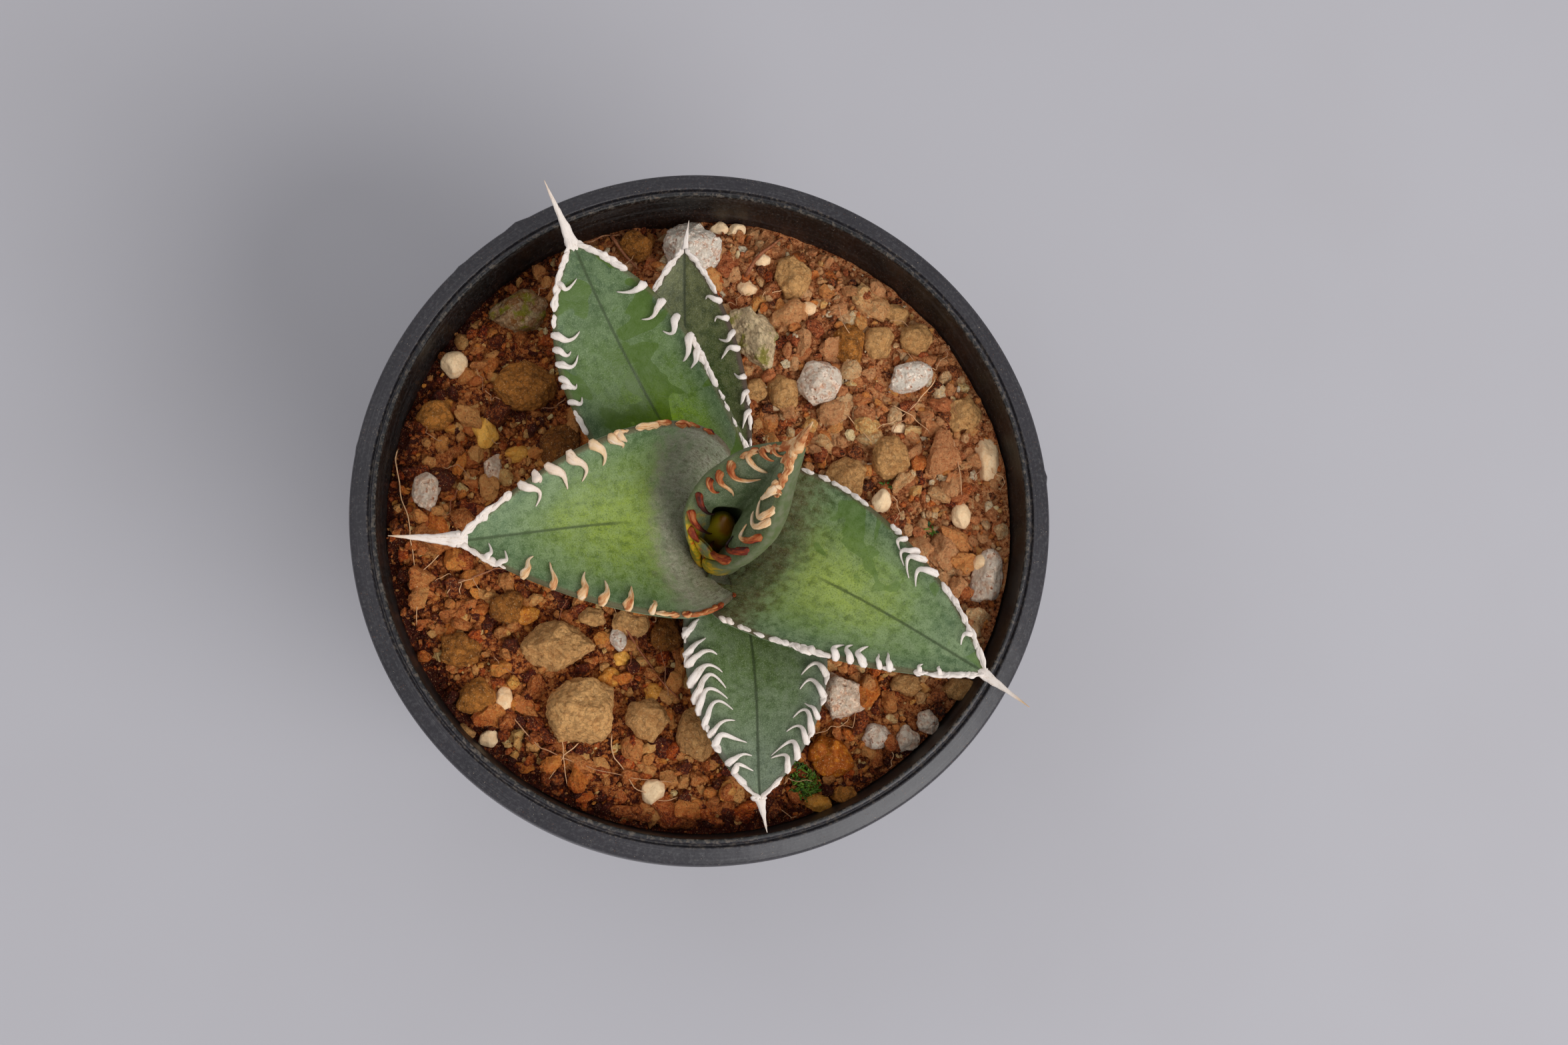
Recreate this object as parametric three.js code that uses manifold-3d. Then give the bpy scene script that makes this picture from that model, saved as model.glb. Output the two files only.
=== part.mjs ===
// A young agave in a round nursery pot: toothed leaves round a rolled heart leaf, a stem with its
// roots, a gritty soil that fills the pot, and the larger stones that lie in it.
// Millimetres. Z = 0 is the surface that the pot stands on, and the origin is under the pot's centre.
// +Z is up. The lowest leaves lie along +Y and -Y, and the widest one along -X.

import * as THREE from "three";
import { mergeVertices } from "three/addons/utils/BufferGeometryUtils.js";
import Module from "manifold-3d";

const wasm = await Module();
wasm.setup();

// Driving dimensions
const gap = 0.3; // between pieces that touch
const touch = 0.05; // cubic millimetres within the gap that are still let be
const sliver = 1e-4; // cubic millimetres that count as no overlap at all

const pot = {
  sides: 48,
  base: 32, // radius of the foot
  shoulder: 42.2, // radius of the body under the rim
  shoulderHeight: 70,
  rim: 45, // radius over the rim
  height: 78,
  mouth: 41.5, // radius inside the top edge
  wall: 1.2,
  footWidth: 2.5,
  floorUnder: 1.5,
  floorTop: 2.8,
  drainRadius: 3.2,
  drainCircle: 20,
  drains: 4,
  notchWidth: 6, // of the gaps in the foot ring
  notchDepth: 1.1,
};

const soil = {
  level: 71.3,
  coarse: 1.5, // height of the large grains that the top shows
  fine: 0.7, // height of the small ones, half as wide
  grain: 3.4, // width of the large ones
  dip: 1.6, // how far the top sinks round the stem
  dipWidth: 10,
  sides: 40,
  rings: 9,
};

const stem = {
  x: 1.2,
  y: -3.4,
  radius: 4.1,
  top: 76.2,
  neck: 64, // where the roots leave it
  foot: 58,
  sides: 16,
  roots: 5,
  rootReach: 17, // how far out they run
  rootEnd: 36, // and how low
  rootRadii: [1.5, 1.2, 0.9, 0.6],
  rootSides: 5,
};

const bud = { x: 0.7, y: -4.3, foot: 76.6, middle: 81.5, tip: 86.6, radius: 1.9, sides: 10 };

const blade = { edge: 0.9, along: 13, across: 8, tipHalf: 0.35 };
const horn = {
  gap: 0.15,
  radius: 0.3, // of the band along the margin
  sides: 3,
  toothRadii: [0.4, 0.36, 0.27, 0.1], // at the root, over the edge, halfway in, at the point
  lift: 0.78, // of a tooth's middle line over the blade
  spineRoot: 0.95,
  spineTip: 0.1,
  spineSides: 6,
  spineSteps: 5,
  bow: 0.3, // of the terminal spine
};

// One row for each leaf, from the youngest to the oldest. rib: where the middle of the upper face
// runs, root to tip. spine: the end of the terminal spine. half: the largest half width, at the
// share "widest" of the length. fold: half the angle that the blade curls through. roll: how far
// it leans about its own rib. thick: depth under the rib. Each list runs evenly from root to tip.
// Teeth are [root, point, reach]: shares of the length, and how far the hook comes in from the edge.
const leaves = [
  {
    name: "leaf_heart",
    colour: 0x5f7a5c,
    rib: [[3.8, -2.7, 75], [2.4, -2.2, 85], [7.7, 0.6, 93], [9, 3.1, 103]],
    spine: [10.3, 5.3, 107.5],
    half: 9.75,
    root: 0.82,
    widest: 0.37,
    taper: 1.77,
    left: 1.01,
    fold: [164, 153, 122, 98, 82, 84],
    roll: [-2, 6.5, 13, 39],
    thick: [0.9, 0.9, 1.1, 1.5, 1.3, 1],
    bandFrom: 0.24,
    free: true, // its teeth stand across the mouth of the roll: the second number is in mm too
    teethLeft: [
      [0.8, 0.4, 3.4], [0.73, 0.2, 3.5], [0.66, 0.6, 3.7], [0.6, 0.2, 1.7], [0.53, 0.2, 3.2],
      [0.45, 0, 3.3], [0.34, 0, 2.4],
    ],
    teethRight: [
      [0.88, 1.4, 2.3], [0.8, 0, 1.8], [0.72, -0.4, 2.5], [0.62, 0.3, 2.9], [0.53, 0, 3.2],
      [0.42, 0, 3],
    ],
  },
  {
    name: "leaf_west",
    colour: 0x55803a,
    rib: [[-2, -2, 75], [-5, -1, 84], [-20, -4.5, 89], [-31, -5.5, 88]],
    spine: [-39.2, -4.9, 88.4],
    half: 13.4,
    root: 0.83,
    widest: 0.24,
    taper: 1.53,
    left: 1.03,
    fold: [72, 46, 26, 26],
    roll: [5.8, 5.8],
    thick: [2.4, 3.2, 2.8, 2, 1.2],
    bandFrom: 0.1,
    teethLeft: [
      [0.91, 0.89, 2.2], [0.88, 0.84, 2.3], [0.8, 0.75, 3.3], [0.71, 0.7, 3.4],
      [0.63, 0.59, 3.8], [0.57, 0.53, 3.4], [0.49, 0.44, 3.6], [0.41, 0.38, 1.9],
    ],
    teethRight: [
      [0.77, 0.72, 3.7], [0.72, 0.7, 1.2], [0.68, 0.61, 4.2], [0.61, 0.56, 4.3],
      [0.54, 0.49, 3.6], [0.48, 0.43, 2.2],
    ],
  },
  {
    name: "leaf_south_east",
    colour: 0x5d8a45,
    rib: [[3.5, -4.5, 74], [10.5, -5.5, 80], [26, -17, 87], [33.5, -22, 88]],
    spine: [38.4, -26.4, 90],
    half: 11.6,
    root: 0.74,
    widest: 0.19,
    taper: 1.76,
    left: 1.05,
    fold: [52, 30, 20, 26],
    roll: [4, 4],
    thick: [2.4, 3, 2.6, 1.9, 1.2],
    bandFrom: 0.16,
    teethLeft: [
      [0.86, 0.86, 1.9], [0.68, 0.64, 3.1], [0.63, 0.61, 3.1], [0.6, 0.58, 2.5],
      [0.55, 0.55, 1.5],
    ],
    teethRight: [
      [0.72, 0.68, 2.3], [0.69, 0.66, 1.9], [0.65, 0.62, 2.7], [0.61, 0.58, 2.4],
      [0.57, 0.56, 1.9],
    ],
  },
  {
    name: "leaf_north_west",
    colour: 0x3f6b2c,
    rib: [[2, 1, 74], [-4.5, 8, 78], [-12.5, 22, 85], [-17, 32.5, 87]],
    spine: [-20.5, 39.7, 89.3],
    half: 8.6,
    root: 0.86,
    widest: 0.5,
    taper: 2.1,
    left: 1.08,
    fold: [52, 32, 22, 26],
    roll: [5.3, 5.3],
    thick: [2.2, 2.8, 2.4, 1.8, 1.2],
    bandFrom: 0.2,
    teethLeft: [
      [0.9, 0.88, 2.7], [0.76, 0.73, 3.6], [0.72, 0.69, 2], [0.68, 0.67, 2.9],
      [0.64, 0.6, 1.6], [0.57, 0.56, 1.4],
    ],
    teethRight: [
      [0.78, 0.79, 3.3], [0.71, 0.68, 3.7], [0.65, 0.62, 2.5], [0.58, 0.51, 2.1],
      [0.52, 0.47, 1.9],
    ],
  },
  {
    name: "leaf_south",
    colour: 0x3d5a4c,
    rib: [[2.5, -6.5, 72.8], [7.5, -12, 74.5], [5.7, -28, 79.5], [6, -36.8, 82]],
    spine: [6.8, -40.9, 82],
    half: 8.95,
    root: 0.71,
    widest: 0.45,
    taper: 1.95,
    left: 1.04,
    fold: [44, 26, 18, 20],
    roll: [3.5, 3.5],
    thick: [1.8, 2.4, 2.4, 1.8, 1.2],
    bandFrom: 0.26,
    teethLeft: [
      [0.89, 0.83, 3.2], [0.84, 0.82, 3.4], [0.78, 0.73, 3.2], [0.75, 0.68, 3.1],
      [0.69, 0.63, 2.2], [0.62, 0.58, 3.2], [0.55, 0.53, 3.2],
    ],
    teethRight: [
      [0.9, 0.88, 2.7], [0.86, 0.82, 4], [0.8, 0.77, 4.4], [0.76, 0.69, 4.3], [0.73, 0.65, 4.6],
      [0.68, 0.61, 4.4], [0.64, 0.57, 4.6], [0.58, 0.51, 4.6], [0.5, 0.44, 4.2],
      [0.46, 0.37, 2.8], [0.37, 0.28, 1.7],
    ],
  },
  {
    name: "leaf_north",
    colour: 0x2c4425,
    rib: [[0.5, 0.5, 72.8], [-2.5, 8, 74], [-2.5, 24.5, 78.5], [-2.6, 33.5, 81]],
    spine: [-2, 37.2, 81.5],
    half: 8,
    root: 0.63,
    widest: 0.37,
    taper: 2.15,
    left: 1.03,
    fold: [46, 30, 24, 26],
    roll: [3.5, 3.5],
    thick: [1.6, 2.2, 2.2, 1.7, 1.1],
    bandFrom: 0.26,
    teethLeft: [[0.72, 0.7, 1.8], [0.62, 0.6, 2], [0.5, 0.47, 1.6]],
    teethRight: [
      [0.77, 0.79, 1.5], [0.73, 0.72, 1.8], [0.69, 0.66, 1.9], [0.62, 0.59, 2.5],
      [0.53, 0.54, 1.2], [0.48, 0.43, 1], [0.41, 0.34, 1],
    ],
  },
];

// Stones that lie half sunk in the soil: name, middle in x and y, width, length, turn in degrees
const tan = 0xa9784a;
const brown = 0x6b4a30;
const pumice = 0xcfc6b4;
const cream = 0xd9c08a;
const mossy = 0x5c5f3c;
const orange = 0xb06a22;
const stones = [
  ["clay_a", -18.8, -16.6, 9.6, 6.6, 10, tan],
  ["clay_b", -15.5, -25.1, 9.6, 9, 30, tan],
  ["clay_c", -7.4, -26.3, 5.8, 5.8, 0, tan],
  ["clay_d", -1.1, -27.9, 5.4, 7.6, 0, tan],
  ["clay_e", -9.4, -13.8, 5, 4.2, 0, tan],
  ["clay_f", 12.4, 32.4, 5, 6, 0, tan],
  ["clay_g", 23.8, 23.6, 4.3, 4.4, 0, tan],
  ["clay_h", 28.8, 24.2, 4.6, 4.3, 0, tan],
  ["clay_i", 25, 8, 5.2, 6, 0, tan],
  ["clay_j", 18.8, 5.3, 5.8, 6, 0, tan],
  ["clay_k", 35, 14, 4.8, 5.2, 0, tan],
  ["brown_a", -25.3, -11.6, 4.6, 4.4, 0, brown],
  ["brown_b", -31.1, -17, 5.4, 4.4, 0, brown],
  ["brown_c", -29.1, -22.9, 5.2, 4.8, 0, brown],
  ["brown_d", -34.6, 13.5, 5, 4, 0, brown],
  ["brown_e", -23, 17.4, 8.4, 6.8, 0, brown],
  ["pumice_a", -0.9, 36.2, 7.4, 7.2, 0, pumice],
  ["pumice_b", 27.8, 18.9, 6.4, 4, 15, pumice],
  ["pumice_c", 15.6, 18.1, 6.2, 6.2, 0, pumice],
  ["pumice_d", 37.4, -7.7, 4.3, 7.6, -14, pumice],
  ["pumice_e", -35.6, 3.3, 3.8, 5.4, 0, pumice],
  ["pumice_f", 17.8, -23.4, 6.2, 6.6, 0, pumice],
  ["pumice_g", 22.4, -28.6, 4.2, 3.4, 0, pumice],
  ["cream_a", 38, 7.9, 3.4, 6, 0, cream],
  ["cream_b", 34.2, 0.4, 2.6, 3.6, 0, cream],
  ["cream_c", -32.1, 20.4, 3.6, 3.5, 30, cream],
  ["mossy_a", 7.3, 24.2, 6.2, 9.4, 25, mossy],
  ["mossy_b", -23.8, 27.2, 8, 5.6, 20, mossy],
  ["orange_a", -28.1, 11.2, 3.6, 4.4, 0, orange],
  ["orange_b", 16.2, -31.2, 6, 5.6, 0, orange],
];
const stoneShape = {
  rise: 0.12, // of the stone's middle over the soil, as a share of its height
  flatness: 0.8,
  rough: 0.15,
  socket: 1.3, // size of the hollow that it sits in
};

// Plain helpers
const clamp = (x) => Math.min(1, Math.max(0, x));
const radians = THREE.MathUtils.degToRad;
const vector = (p) => new THREE.Vector3(...p);

// The value at t of a list spread evenly from 0 to 1
function along(list, t) {
  const place = clamp(t) * (list.length - 1);
  const i = Math.min(list.length - 2, Math.floor(place));
  return THREE.MathUtils.lerp(list[i], list[i + 1], place - i);
}

// A repeatable number from 0 to 1 for a pair of whole numbers
function draw(i, j) {
  const s = Math.sin(i * 127.1 + j * 311.7) * 43758.5453;
  return s - Math.floor(s);
}

// Smooth bumps over the plane, from 0 to 1, one for each unit square
function bumps(x, y) {
  const i = Math.floor(x);
  const j = Math.floor(y);
  const fx = THREE.MathUtils.smoothstep(x - i, 0, 1);
  const fy = THREE.MathUtils.smoothstep(y - j, 0, 1);
  const near = THREE.MathUtils.lerp(draw(i, j), draw(i + 1, j), fx);
  const far = THREE.MathUtils.lerp(draw(i, j + 1), draw(i + 1, j + 1), fx);
  return THREE.MathUtils.lerp(near, far, fy);
}

// Solids
function solidOf(geometry) {
  const bare = geometry.index ? geometry.toNonIndexed() : geometry;
  const positions = new THREE.BufferGeometry();
  positions.setAttribute("position", bare.getAttribute("position"));
  const merged = mergeVertices(positions, 1e-4);
  return new wasm.Manifold(
    new wasm.Mesh({
      numProp: 3,
      vertProperties: new Float32Array(merged.getAttribute("position").array),
      triVerts: new Uint32Array(merged.index.array),
    }),
  );
}

// A solid through closed rings of points, each ring facing the next. An end is closed by strips
// between its two sides, which also fits a thin curled section. flip(j) says where a cell is split
// along its other diagonal.
function loft(rings, flip = () => false) {
  const count = rings[0].length;
  const points = rings.flat();
  const faces = [];
  for (let i = 0; i + 1 < rings.length; i++) {
    for (let j = 0; j < count; j++) {
      const a = i * count + j;
      const b = i * count + ((j + 1) % count);
      const c = b + count;
      const d = a + count;
      if (flip(j)) faces.push(a, b, d, b, c, d);
      else faces.push(a, b, c, a, c, d);
    }
  }
  const end = (rings.length - 1) * count;
  for (let k = 0; k < Math.floor((count - 1) / 2); k++) {
    const [a, b, c, d] = [k, k + 1, count - 2 - k, count - 1 - k];
    faces.push(b, a, d, end + a, end + b, end + d);
    if (b !== c) faces.push(c, b, d, end + b, end + c, end + d);
  }
  return new wasm.Manifold(
    new wasm.Mesh({
      numProp: 3,
      vertProperties: new Float32Array(points.flatMap((p) => [p.x, p.y, p.z])),
      triVerts: new Uint32Array(faces),
    }),
  );
}

// A tapered rod along a list of points, with a radius for each, larger all round by grow
function rod(points, radii, sides, grow = 0) {
  let side = new THREE.Vector3(0.31, 0.52, 0.79);
  const last = points.length - 1;
  const rings = points.map((point, i) => {
    const ahead = points[Math.min(last, i + 1)].clone().sub(points[Math.max(0, i - 1)]).normalize();
    const p = point.clone().addScaledVector(ahead, i === 0 ? -grow : i === last ? grow : 0);
    const radius = radii[i] + grow;
    side = side.clone().addScaledVector(ahead, -side.dot(ahead)).normalize();
    const up = ahead.clone().cross(side);
    return Array.from({ length: sides }, (_, k) => {
      const angle = (2 * Math.PI * k) / sides;
      return p
        .clone()
        .addScaledVector(side, radius * Math.cos(angle))
        .addScaledVector(up, radius * Math.sin(angle));
    });
  });
  return loft(rings);
}

function lathe(profile, sides, x = 0, y = 0) {
  const points = profile.map(([r, z]) => new THREE.Vector2(r, z));
  const geometry = new THREE.LatheGeometry(points, sides);
  geometry.rotateX(Math.PI / 2);
  return solidOf(geometry.translate(x, y, 0));
}

const joined = (solids) => solids.reduce((sum, s) => sum.add(s));

// The largest body of a solid: cuts can leave scraps
function largest(solid) {
  const bodies = solid.decompose();
  return bodies.reduce((best, s) => (s.volume() > best.volume() ? s : best));
}

// Cuts a solid clear of the neighbours that it crosses or nearly meets
function clearOf(solid, neighbours) {
  let left = solid;
  for (const other of neighbours) {
    for (let room = gap; room < 4 * gap; room += gap) {
      const around = other.grown(room);
      if (left.intersect(around).volume() > touch) left = left.subtract(around);
      if (left.intersect(other.solid).volume() < sliver) break;
    }
  }
  return largest(left);
}

// A leaf's upper face, and what is measured from it. u runs from -1 at the left edge to 1 at the
// right one, t from 0 at the root to 1 at the tip.
class Leaf {
  constructor(row) {
    Object.assign(this, row);
    this.curve = new THREE.CubicBezierCurve3(...row.rib.map(vector));
    const run = vector(row.rib[3]).sub(vector(row.rib[0]));
    const heading = Math.atan2(run.y, run.x);
    this.level = new THREE.Vector3(Math.sin(heading), -Math.cos(heading), 0);
  }

  halfWidth(t, u) {
    const rise = clamp(t / this.widest);
    const fall = clamp((t - this.widest) / (1 - this.widest));
    const share =
      t < this.widest
        ? this.root + (1 - this.root) * Math.sin((Math.PI / 2) * rise)
        : 1 - fall ** this.taper;
    return Math.max(this.half * share * (u < 0 ? this.left : 1), blade.tipHalf);
  }

  // The directions along the rib, across it to the right, and out of the upper face
  axes(t) {
    const ahead = this.curve.getTangent(t);
    const side = this.level.clone().addScaledVector(ahead, -this.level.dot(ahead)).normalize();
    const up = side.clone().cross(ahead);
    const lean = radians(along(this.roll, t));
    return {
      ahead,
      side: side.clone().multiplyScalar(Math.cos(lean)).addScaledVector(up, Math.sin(lean)),
      up: up.clone().multiplyScalar(Math.cos(lean)).addScaledVector(side, -Math.sin(lean)),
    };
  }

  // The point at t and u, raised over the face by height and moved out past the edge by out
  point(t, u, height = 0, out = 0) {
    const { side, up } = this.axes(t);
    const curl = radians(along(this.fold, t));
    const bend = this.halfWidth(t, u) / curl;
    const angle = u * curl;
    const normal = up.clone().multiplyScalar(Math.cos(angle)).addScaledVector(side, -Math.sin(angle));
    const away = side.clone().multiplyScalar(Math.cos(angle)).addScaledVector(up, Math.sin(angle));
    return this.curve
      .getPoint(t)
      .addScaledVector(side, bend * Math.sin(angle))
      .addScaledVector(up, bend * (1 - Math.cos(angle)))
      .addScaledVector(normal, height)
      .addScaledVector(away, out * (u < 0 ? -1 : 1));
  }

  // The fleshy blade, larger all round by grow
  bladeSolid(grow = 0) {
    const { along: steps, across: cells, edge } = blade;
    const rings = [];
    for (let i = 0; i <= steps; i++) {
      const t = i / steps;
      const thick = along(this.thick, t);
      const { ahead } = this.axes(t);
      const reach = i === 0 ? -grow : i === steps ? grow : 0;
      const ring = [];
      for (let j = 0; j <= cells; j++) {
        const u = (2 * j) / cells - 1;
        ring.push(this.point(t, u, grow, Math.abs(u) * grow));
      }
      for (let j = cells; j >= 0; j--) {
        const u = (2 * j) / cells - 1;
        const depth = edge + (thick - edge) * (1 - u * u);
        ring.push(this.point(t, u, -depth - grow, Math.abs(u) * grow));
      }
      rings.push(ring.map((p) => p.addScaledVector(ahead, reach)));
    }
    return loft(rings, (j) => j > cells);
  }

  // A point beside the edge, square to the way that the edge runs
  beside(t, u, height) {
    const step = 0.01;
    const run = this.point(Math.min(1, t + step), u).sub(this.point(t - step, u));
    const face = this.point(t, u, 1).sub(this.point(t, u));
    const away = run.cross(face).normalize();
    const distance = Math.sign(u) * (horn.gap + horn.radius);
    return this.point(t, u, height).addScaledVector(away, distance);
  }

  // The horny band along one edge, from where it leaves the heart to the tip
  band(u, grow) {
    const path = [];
    for (let i = Math.ceil(this.bandFrom * blade.along); i <= blade.along; i++) {
      path.push(this.beside(i / blade.along, u, -blade.edge / 2));
    }
    const { ahead } = this.axes(1);
    path.push(path.at(-1).clone().addScaledVector(ahead, horn.radius + horn.gap));
    path.push(this.tipPoint(3 * horn.radius));
    return rod(path, path.map(() => horn.radius), horn.sides, grow);
  }

  // A point straight ahead of the blade's end
  tipPoint(distance) {
    return this.point(1, 0, -blade.edge / 2).addScaledVector(this.axes(1).ahead, distance);
  }

  terminalSpine(grow) {
    const root = this.tipPoint(1.5 * horn.gap);
    const end = vector(this.spine);
    const bow = root.clone().lerp(end, 0.5).addScaledVector(this.axes(1).ahead, horn.bow);
    const path = new THREE.QuadraticBezierCurve3(root, bow, end).getPoints(horn.spineSteps);
    const radii = path.map((_, i) =>
      THREE.MathUtils.lerp(horn.spineRoot, horn.spineTip, (i / horn.spineSteps) ** 0.85));
    return rod(path, radii, horn.spineSides, grow);
  }

  // A hooked tooth: up beside the edge, then in over the face, or across the mouth of the roll
  tooth(u, [from, to, reach], grow) {
    const path = [this.beside(from, u, -blade.edge / 2), this.beside(from, u, horn.lift)];
    if (this.free) {
      const over = this.point(from, -u).sub(this.point(from, u)).normalize();
      const back = this.axes(from).ahead.multiplyScalar(-to);
      path.push(path[1].clone().addScaledVector(over, reach * 0.5).addScaledVector(back, 0.25));
      path.push(path[1].clone().addScaledVector(over, reach).add(back));
    } else {
      const share = (part, t) => u * (1 - (part * reach) / this.halfWidth(t, u));
      const half = THREE.MathUtils.lerp(from, to, 0.4);
      path.push(this.point(half, share(0.55, half), horn.lift + 0.12));
      path.push(this.point(to, share(1, to), horn.lift - 0.15));
    }
    return rod(path, horn.toothRadii, horn.sides, grow);
  }

  hornSolid(grow = 0) {
    return joined([
      this.terminalSpine(grow),
      this.band(-1, grow),
      this.band(1, grow),
      ...this.teethLeft.map((row) => this.tooth(-1, row, grow)),
      ...this.teethRight.map((row) => this.tooth(1, row, grow)),
    ]);
  }
}

// A shape that knows how to make itself larger by the gap
const shape = (make) => ({ solid: make(0), grown: make });

function stemShape(grow) {
  const { x, y, radius, top, neck, foot, roots, rootReach, rootEnd } = stem;
  const body = lathe(
    [
      [0, foot - grow],
      [radius * 0.4 + grow, foot - grow],
      [radius * 0.75 + grow, neck],
      [radius + grow, neck + 5],
      [radius + grow, top - 1.2],
      [radius - 1.1 + grow, top + grow],
      [0, top + grow],
    ],
    stem.sides,
    x,
    y,
  );
  const whole = [body];
  for (let i = 0; i < roots; i++) {
    const angle = (2 * Math.PI * (i + 0.3 * draw(i, 5))) / roots;
    const at = (r, z) => new THREE.Vector3(x + r * Math.cos(angle), y + r * Math.sin(angle), z);
    const path = [at(0.8, neck + 1), at(5, neck - 4), at(rootReach * 0.7, neck - 13)];
    path.push(at(rootReach, rootEnd + 8 * draw(i, 9)));
    whole.push(rod(path, stem.rootRadii, stem.rootSides, grow));
  }
  return joined(whole);
}

function budShape(grow) {
  const { x, y, foot, middle, tip, radius } = bud;
  return lathe(
    [
      [0, foot - grow],
      [radius * 0.7 + grow, foot - grow],
      [radius + grow, middle],
      [radius * 0.62 + grow, tip - 1.8],
      [0.25 + grow, tip + grow],
      [0, tip + grow],
    ],
    bud.sides,
    x,
    y,
  );
}

function placeStone(geometry, [, x, y, width, length, turn]) {
  const height = ((width + length) / 2) * stoneShape.flatness;
  geometry.scale(width / 2, length / 2, height / 2).rotateZ(radians(turn));
  return solidOf(geometry.translate(x, y, soil.level + height * stoneShape.rise));
}

// A blunt, many sided stone
function stoneSolid(row, index) {
  const geometry = new THREE.IcosahedronGeometry(1, 1);
  const position = geometry.getAttribute("position");
  const p = new THREE.Vector3();
  for (let i = 0; i < position.count; i++) {
    p.fromBufferAttribute(position, i);
    const lump = bumps(p.x * 1.6 + index * 7.3, p.y * 1.6 + p.z * 2.3);
    const swell = 1.02 + stoneShape.rough * (1 - 2 * lump);
    position.setXYZ(i, p.x * swell, p.y * swell, p.z * swell);
  }
  return placeStone(geometry, row);
}

// The hollow that it sits in: twenty plain sides, each clear of the stone
function socketSolid(row, room) {
  const clear = 1 + (2 * room) / Math.min(row[3], row[4]);
  return placeStone(new THREE.IcosahedronGeometry(stoneShape.socket * clear, 0), row);
}

function potSolid() {
  const { base, shoulder, shoulderHeight, rim, height, mouth, wall, floorTop, floorUnder } = pot;
  const foot = base - pot.footWidth;
  const body = lathe(
    [
      [0, floorUnder],
      [foot - 0.3, floorUnder],
      [foot, 0],
      [base - 0.4, 0],
      [base, 0.4],
      [shoulder, shoulderHeight],
      [rim - 0.7, shoulderHeight],
      [rim, height - 1.8],
      [rim - 0.25, height - 1.25],
      [rim - 2.3, height - 0.35],
      [rim - 2.65, height - 0.8],
      [rim - 2.85, height],
      [mouth + 0.25, height],
      [mouth - 0.5, soil.level],
      [base - wall, floorTop + 1.2],
      [base - wall - 1.2, floorTop],
      [0, floorTop],
    ],
    pot.sides,
  );
  const cuts = [];
  for (let i = 0; i < pot.drains; i++) {
    const angle = (2 * Math.PI * (i + 0.5)) / pot.drains;
    const hole = new THREE.CylinderGeometry(pot.drainRadius, pot.drainRadius, 8, 12);
    hole.rotateX(Math.PI / 2);
    const away = pot.drainCircle;
    cuts.push(solidOf(hole.translate(away * Math.cos(angle), away * Math.sin(angle), 2)));
    const notch = new THREE.BoxGeometry(pot.footWidth * 4, pot.notchWidth, 2 * pot.notchDepth);
    notch.translate(base - pot.footWidth / 2, 0, 0).rotateZ(angle);
    cuts.push(solidOf(notch));
  }
  return body.subtract(joined(cuts));
}

// The soil: straight sides just inside the pot, and a top of low grains
function soilTop(x, y) {
  const { level, grain, dip, dipWidth } = soil;
  const away = Math.hypot(x - stem.x, y - stem.y) / dipWidth;
  const coarse = soil.coarse * (bumps(x / grain + 31, y / grain + 17) - 0.5);
  const fine = soil.fine * (bumps((x * 2) / grain + 3, (y * 2) / grain + 47) - 0.5);
  return level + coarse + fine - dip * Math.exp(-away * away);
}

function soilBody() {
  const { sides } = soil;
  const low = pot.floorTop + gap;
  const lowRadius = pot.base - pot.wall - 1.2 - gap;
  const highRadius = pot.mouth - 0.5 - gap;
  const ring = (radius, height) =>
    Array.from({ length: sides }, (_, k) => {
      const angle = (2 * Math.PI * k) / sides;
      const x = radius * Math.cos(angle);
      const y = radius * Math.sin(angle);
      return new THREE.Vector3(x, y, height ?? soilTop(x, y));
    });
  const rings = [ring(lowRadius, low), ring(pot.base - pot.wall - gap, low + 1.2)];
  for (let i = soil.rings; i > 0; i--) rings.push(ring((highRadius * i) / soil.rings));
  return loft(rings);
}

// Build: the youngest pieces keep their form, and older ones are cut clear of them
const stemPart = shape(stemShape);
const budPart = shape(budShape);
const parts = [];
const add = (name, solid, colour, roughness = 0.6) => parts.push({ name, solid, colour, roughness });

const settled = [stemPart, budPart];
for (const row of leaves) {
  const leaf = new Leaf(row);
  const fleshy = clearOf(leaf.bladeSolid(), settled);
  const horny = clearOf(leaf.hornSolid(), settled);
  add(leaf.name, fleshy, leaf.colour, 0.5);
  add(leaf.name.replace("leaf", "teeth"), horny, 0xe6dfd2, 0.7);
  settled.push({ solid: fleshy, grown: (room) => leaf.bladeSolid(room) });
  settled.push({ solid: horny, grown: (room) => leaf.hornSolid(room) });
}
add("stem", stemPart.solid, 0x8a7a50);
add("leaf_bud", budPart.solid, 0x8a8420);

const stoneParts = stones.map((row, i) => ({
  solid: stoneSolid(row, i),
  grown: (room) => socketSolid(row, room),
}));
stones.forEach((row, i) => add("stone_" + row[0], stoneParts[i].solid, row[6], 0.9));
add("soil", clearOf(soilBody(), [...settled, ...stoneParts]), 0x5a3a28, 0.95);
add("pot", potSolid(), 0x17171a, 0.35);

const plant = new THREE.Group();
for (const { name, solid, colour, roughness } of parts) {
  const { vertProperties, triVerts } = solid.getMesh();
  const geometry = new THREE.BufferGeometry();
  geometry.setAttribute("position", new THREE.BufferAttribute(vertProperties, 3));
  geometry.setIndex(new THREE.BufferAttribute(triVerts, 1));
  const material = new THREE.MeshStandardMaterial({ color: colour, roughness, metalness: 0 });
  const mesh = new THREE.Mesh(geometry, material);
  mesh.name = name;
  plant.add(mesh);
}

export default plant;
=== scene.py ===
import itertools
import math

import bmesh
import bpy
import numpy as np
from mathutils import Euler, Matrix, Vector


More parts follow.
